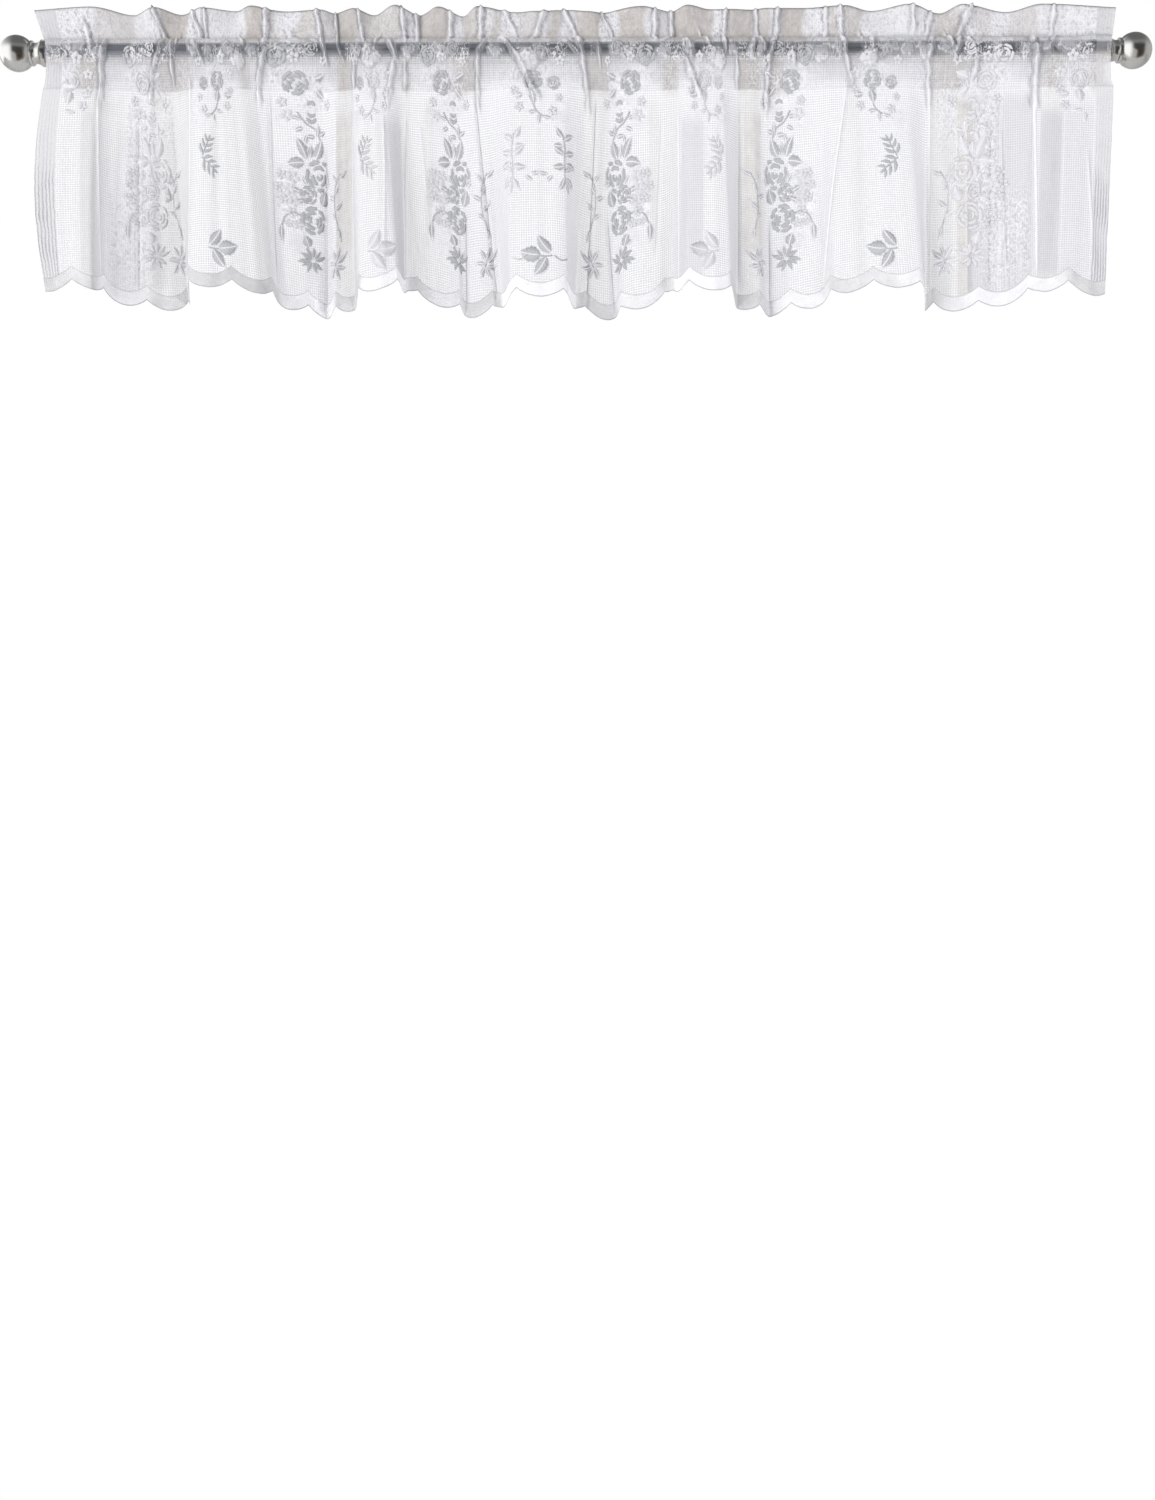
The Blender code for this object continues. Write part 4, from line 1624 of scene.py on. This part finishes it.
COLUMN_STEMS = (
    ((-12, 22), (-4, 33), (6, 39), (12, 50)),
    ((-8, 158), (-6, 166), (-3, 174)),
    ((-8, 132), (-20, 128), (-30, 134), (-34, 144)),
)
VINE_STEMS = (
    ((51, 86), (41, 102), (40, 121), (47, 146)),
    ((36, 193), (41, 181), (46, 169)),
)
# The vine of a column near the sides stands this much nearer to it, in millimetres
VINE_SHIFT = 15

# Between two columns
GAP_LEAVES = (
    (-11, 185, 24, 12.5, 36),
    (0, 188, 23, 17.0, 78),
    (-6, 190, 25, 12.5, 146),
    (7, 4, 16, 10.0, 188),
    (-6, 33, 13, 5.0, -110),
    (-2, 31, 12, 5.0, 170),
    (2, 27, 12, 5.0, 100),
    (18, 8, 14, 8.0, 96),
)
GAP_FERNS = (
    (-20, 81, 25, 26, 3),
    (-21, 83, 27, 128, 3),
)
GAP_ROSES = (
    (5, -8, 12.0, 0, 0),
    (-20, -5, 8.0, 90, 1),
    (-6, -38, 9.0, 40, 0),
)
GAP_BLOSSOMS = (
    (-18, 27, 6),
    (-26, 12, 5),
    (22, 22, 6),
    (28, 4, 6),
    (28, -16, 7),
    (14, -34, 7),
    (-28, -30, 6),
)
GAP_STEMS = (
    ((-12, 188), (-4, 189), (4, 188)),
    ((6, 16), (2, 26), (-8, 34)),
)
BLOSSOM_PALENESS = 0.75

# The middle gap has a climbing spray at each side in place of ferns
SPRAY_LEAVES = (
    (-31, 60, 15, 7.5, -60),
    (-29, 57, 15, 7.0, 34),
    (-29, 66, 13, 6.5, 84),
    (-32, 76, 15, 7.5, -74),
    (-30, 75, 16, 7.5, 56),
    (-33, 86, 15, 7.5, -104),
    (-30, 88, 16, 8.0, 96),
    (-32, 94, 12, 6.0, -60),
    (-33, 101, 15, 7.0, -134),
    (-30, 102, 16, 7.0, 148),
    (-32, 106, 15, 6.0, 192),
    (-10, 97, 13, 5.0, 84),
    (-15, 99, 11, 5.0, 130),
)
SPRAY_STEMS = (
    ((-29, 52), (-32, 70), (-31, 88), (-31, 108)),
    ((14, 188), (22, 192), (32, 190)),
)


def motif_groups():
    """Middle, flip and whether it lies between two columns, for each group of motifs."""
    for i in range(-6, 7):
        middle = (MIDDLE + REPEAT * i / 2) * SCALLOP_PITCH
        yield middle, 1.0 if i < 0 else -1.0, i % 2 == 0


class VALANCE_OT_lace(bpy.types.Operator):
    """Work the roses, leaves and sprigs into the cloth"""

    bl_idname = "valance.lace"
    bl_label = "Work the motifs"

    def execute(self, context):
        flowers, leaves, sprigs = Patches(), Patches(), Patches()
        for middle, flip, between in motif_groups():
            group = Group(middle, flip)
            central = abs(middle - MIDDLE * SCALLOP_PITCH) < 0.001
            if between:
                at_end = min(middle, CLOTH_WIDTH - middle) < SCALLOP_PITCH
                lower = [row for row in GAP_LEAVES if row[1] < 60 or not at_end]
                rows = (lower, () if central or at_end else GAP_FERNS, GAP_ROSES,
                        GAP_BLOSSOMS, () if at_end else GAP_STEMS)
            else:
                rows = (COLUMN_LEAVES, (), COLUMN_ROSES, COLUMN_BLOSSOMS, COLUMN_STEMS)
                nearer = VINE_SHIFT if abs(middle - CLOTH_WIDTH / 2) > 0.5 else 0.0
                vine = Group(middle - nearer * flip * MM, flip)
                for row in COLUMN_VINE:
                    vine.leaf(sprigs, *row)
                for row in VINE_STEMS:
                    vine.stem(sprigs, row, 1.1)
                for length, width, turn in COLUMN_FAN:
                    angle = math.radians(turn)
                    group.leaf(sprigs, -2 + 2.5 * math.sin(angle),
                               175 - 2.5 * math.cos(angle), length, width, turn, False)
            self.fill(group, rows, flowers, leaves, sprigs)
            if central:
                for side in (-1.0, 1.0):
                    self.fill(Group(middle, side), (SPRAY_LEAVES, (), (), (), SPRAY_STEMS),
                              flowers, leaves, sprigs)
        material = motif_material(context.scene.valance_colours)
        thickness = context.scene.valance_sizes.lace_thickness
        made = [flowers.build("lace_flowers", material, thickness),
                leaves.build("lace_leaves", material, thickness),
                sprigs.build("lace_sprigs", material, thickness)]
        return {"FINISHED"}

    @staticmethod
    def fill(group, rows, flowers, leaves, sprigs):
        """Add one group's motifs."""
        leaf_rows, fern_rows, rose_rows, blossom_rows, stem_rows = rows
        for row in leaf_rows:
            group.leaf(leaves, *row)
        for row in fern_rows:
            group.fern(sprigs, *row)
        for across, down, radius, turn, kind in rose_rows:
            group.petals(flowers, across, down, radius, turn,
                         (OPEN_ROSE, SIDE_ROSE, BUD)[kind])
        for row in blossom_rows:
            group.blossom(flowers, *row)
        for row in stem_rows:
            group.stem(sprigs, row)


# A finial's sizes, in millimetres. Distances count outwards from about the rod's end,
# which is END_GAP before the finial's solid
END_GAP = 0.35
FINIAL_PROFILE = (
    # distance and radius: first the sleeve's inside
    (END_GAP, 14.08),
    (-3.60, 14.08),
    (-3.90, 14.50),
    (-3.40, 14.85),
    (1.20, 14.85),
    (1.90, 14.15),
    (3.20, 13.30),
    (4.90, 12.40),
    (6.40, 11.90),
    (7.60, 11.60),
    (8.40, 11.50),
    (10.90, 11.50),
    (11.20, 11.70),
    (11.35, 13.50),
    (11.80, 14.00),
    (13.00, 14.10),
    (14.20, 14.00),
    (14.60, 13.60),
    (14.75, 12.60),
    (15.25, 12.50),
)
BALL_RADIUS = 20.3
BALL_MIDDLE = 30.4
NECK_RADIUS = 12.7
BALL_STEPS = 28


class VALANCE_OT_finials(bpy.types.Operator):
    """Turn the two ball finials"""

    bl_idname = "valance.finials"
    bl_label = "Turn the finials"

    steps: IntProperty(
        name="Steps", description="Facets round each finial", default=72)

    def execute(self, context):
        nickel = context.scene.valance_colours.nickel
        material = metal_material("brushed_nickel_finish", nickel,
                                  tinted(nickel, 0.8), 0.22, (900.0, 60.0, 60.0))
        for name, side in (("finial_left", -1), ("finial_right", 1)):
            low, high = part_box(name)
            end = (low[0] if side > 0 else high[0]) - side * END_GAP * MM
            self.turn(name, side, end, material)
        return {"FINISHED"}

    def turn(self, name, side, end, material):
        """One finial, spun about the rod's axis."""
        neck = math.asin(NECK_RADIUS / BALL_RADIUS)
        outline = [(END_GAP, 0.0), *FINIAL_PROFILE]
        for i in range(BALL_STEPS + 1):
            angle = (math.pi - neck) * (1 - i / BALL_STEPS)
            outline.append((BALL_MIDDLE + BALL_RADIUS * math.cos(angle),
                            BALL_RADIUS * math.sin(angle)))
        points = [(end + side * out * MM, 0.0, radius * MM) for out, radius in outline]
        edges = [(i, i + 1) for i in range(len(outline) - 1)]
        item = link_mesh(name + "_turned", points, [], edges)
        make_active(item)
        bpy.ops.object.mode_set(mode="EDIT")
        bpy.ops.mesh.select_all(action="SELECT")
        bpy.ops.mesh.spin(steps=self.steps, angle=2 * math.pi, center=(0, 0, 0),
                          axis=(1, 0, 0))
        bpy.ops.mesh.select_all(action="SELECT")
        bpy.ops.mesh.remove_doubles(threshold=0.00002)
        bpy.ops.mesh.normals_make_consistent(inside=False)
        bpy.ops.object.mode_set(mode="OBJECT")
        bpy.ops.object.shade_smooth_by_angle(angle=math.radians(38))
        item.data.materials.append(material)
        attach(item, "root")
        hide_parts(name)


class VALANCE_OT_rod(bpy.types.Operator):
    """Finish the rod"""

    bl_idname = "valance.rod"
    bl_label = "Finish the rod"

    def execute(self, context):
        steel = context.scene.valance_colours.steel
        material = metal_material("rod_steel_finish", steel, tinted(steel, 0.85),
                                  0.30, (30.0, 700.0, 700.0))
        rod = next(item for item in context.scene.objects if item.name.startswith("rod"))
        for spot in rod.material_slots:
            spot.material = material
        return {"FINISHED"}


# Studio lights: name, place, what it points at, size, power, colour
LIGHTS = (
    ("key", (-3.0, -2.6, 0.6), (0, 0, -0.15), 1.4, 80.0, (1.0, 0.99, 0.98)),
    ("fill", (2.9, -2.7, -1.3), (0, 0, -0.15), 1.8, 104.0, (0.98, 0.98, 1.0)),
    ("back", (0.3, 2.2, 1.2), (0, 0, -0.15), 2.2, 34.0, (1.0, 1.0, 1.0)),
)


class VALANCE_OT_stage(bpy.types.Operator):
    """Set up the floor, the light and the camera"""

    bl_idname = "valance.stage"
    bl_label = "Set the stage"

    def execute(self, context):
        scene = context.scene
        scene.view_settings.view_transform = "Standard"
        self.floor()
        self.world(scene)
        for row in LIGHTS:
            self.light(*row)
        self.camera(scene)
        return {"FINISHED"}

    @staticmethod
    def floor():
        """A pale floor that sweeps up behind."""
        deselect()
        bpy.ops.mesh.primitive_plane_add(size=1.0, location=(0.0, 1.25, -1.62))
        floor = bpy.context.object
        floor.name = "floor"
        floor.dimensions = (12.0, 3.9, 0.0)
        bpy.ops.object.transform_apply(location=True, rotation=True, scale=True)
        bpy.ops.object.mode_set(mode="EDIT")
        bpy.ops.mesh.select_all(action="DESELECT")
        bpy.ops.object.mode_set(mode="OBJECT")
        for edge in floor.data.edges:
            edge.select = all(floor.data.vertices[v].co.y > 3.0 for v in edge.vertices)
        bpy.ops.object.mode_set(mode="EDIT")
        bpy.ops.mesh.select_mode(type="EDGE")
        steps = 10
        bend = 0.9
        for i in range(steps):
            a0, a1 = (math.pi / 2 * j / steps for j in (i, i + 1))
            bpy.ops.mesh.extrude_region_move(TRANSFORM_OT_translate={"value": (
                0.0, bend * (math.sin(a1) - math.sin(a0)),
                bend * (math.cos(a0) - math.cos(a1)))})
        bpy.ops.mesh.extrude_region_move(TRANSFORM_OT_translate={"value": (0.0, 0.0, 3.2)})
        bpy.ops.object.mode_set(mode="OBJECT")
        floor.data.shade_smooth()
        s = new_shader("floor_paint")
        place = s.node("ShaderNodeTexCoord").outputs[3]
        tone = s.mix(s.noise(place, 3.0), (0.84, 0.84, 0.84), (0.87, 0.87, 0.87))
        paint = s.node("ShaderNodeBsdfPrincipled", None, {
            "Base Color": tone, "Roughness": 0.9})
        glow = s.node("ShaderNodeEmission", None, {0: (1.0, 1.0, 1.0, 1.0), 1: 1.0})
        both = s.blend(s.number("ShaderNodeLightPath"), paint, glow)
        floor.data.materials.append(s.finish(both))

    @staticmethod
    def world(scene):
        """A white surround that the metal mirrors: bright at the left, dark at the front."""
        world = bpy.data.worlds.new("surround")
        scene.world = world
        s = Shader(world)
        way = s.node("ShaderNodeTexCoord").outputs[0]
        parts = s.node("ShaderNodeSeparateXYZ", None, {0: way})
        x, y, z = (Number(s, parts.outputs[i]) for i in range(3))
        left = (0.0 - x).step(0.25, 0.70)
        low = (0.0 - z).step(0.0, 0.40)
        dark = (x - low * 0.45).step(-0.46, -0.24) * (1 - x.step(0.70, 0.98))
        dark = dark * (0.0 - y).step(0.10, 0.55) * (1 - z.step(0.30, 0.75))
        top = z.step(0.35, 0.85)
        level = (0.62 + left * 1.0) * (1 - dark * 0.90) * (1 - top * 0.70)
        seen = s.number("ShaderNodeLightPath")
        level = level * (1 - seen) + seen
        colour = s.mix(dark * low, (0.97, 0.98, 1.0), (1.0, 0.80, 0.66))
        colour = s.mix(seen, colour, (1.0, 1.0, 1.0))
        sky = s.node("ShaderNodeBackground", None, {0: colour, 1: level})
        s.node("ShaderNodeOutputWorld", None, {0: sky.outputs[0]})

    @staticmethod
    def light(name, place, aim, size, power, colour):
        """A square soft light."""
        lamp = bpy.data.lights.new(name, "AREA")
        lamp.shape = "SQUARE"
        lamp.size = size
        lamp.energy = power
        lamp.color = colour
        item = bpy.data.objects.new(name, lamp)
        item.location = place
        item.rotation_euler = (Vector(aim) - Vector(place)).to_track_quat("-Z", "Y").to_euler()
        item.visible_glossy = False
        bpy.context.scene.collection.objects.link(item)

    @staticmethod
    def camera(scene):
        """The camera at the photograph's viewing angle."""
        place = scene.valance_camera
        lens = bpy.data.cameras.new("camera")
        lens.lens = lens.sensor_width * place.distance / place.frame_height
        item = bpy.data.objects.new("camera", lens)
        item.location = (0.0, -place.distance, place.height)
        level = Euler((math.pi / 2, 0.0, 0.0)).to_matrix()
        item.rotation_euler = (level @ Matrix.Rotation(place.roll, 3, "Z")).to_euler()
        scene.collection.objects.link(item)
        scene.camera = item


class VALANCE_PT_panel(bpy.types.Panel):
    """The valance's pieces, in the order in which they are made"""

    bl_idname = "VALANCE_PT_panel"
    bl_label = "Lace valance"
    bl_space_type = "VIEW_3D"
    bl_region_type = "UI"
    bl_category = "Valance"

    def draw(self, context):
        for group in ("valance_sizes", "valance_colours", "valance_camera"):
            box = self.layout.box()
            owner = getattr(context.scene, group)
            for name in owner.__annotations__:
                box.prop(owner, name)
        for name in OPERATORS:
            self.layout.operator(name)


OPERATORS = (
    "valance.stage",
    "valance.cloth",
    "valance.lace",
    "valance.finials",
    "valance.rod",
)
CLASSES = (
    ValanceSizes,
    ValanceColours,
    CameraPlace,
    VALANCE_OT_cloth,
    VALANCE_OT_lace,
    VALANCE_OT_finials,
    VALANCE_OT_rod,
    VALANCE_OT_stage,
    VALANCE_PT_panel,
)


def register():
    """Register the classes and the scene's settings."""
    for made in CLASSES:
        bpy.utils.register_class(made)
    bpy.types.Scene.valance_sizes = PointerProperty(type=ValanceSizes)
    bpy.types.Scene.valance_colours = PointerProperty(type=ValanceColours)
    bpy.types.Scene.valance_camera = PointerProperty(type=CameraPlace)


def unregister():
    """Take them out again."""
    del bpy.types.Scene.valance_camera
    del bpy.types.Scene.valance_colours
    del bpy.types.Scene.valance_sizes
    for made in reversed(CLASSES):
        bpy.utils.unregister_class(made)


def main():
    """Build the scene."""
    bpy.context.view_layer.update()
    register()
    for name in OPERATORS:
        group, operator = name.split(".")
        getattr(getattr(bpy.ops, group), operator)()


if __name__ == "__main__":
    main()
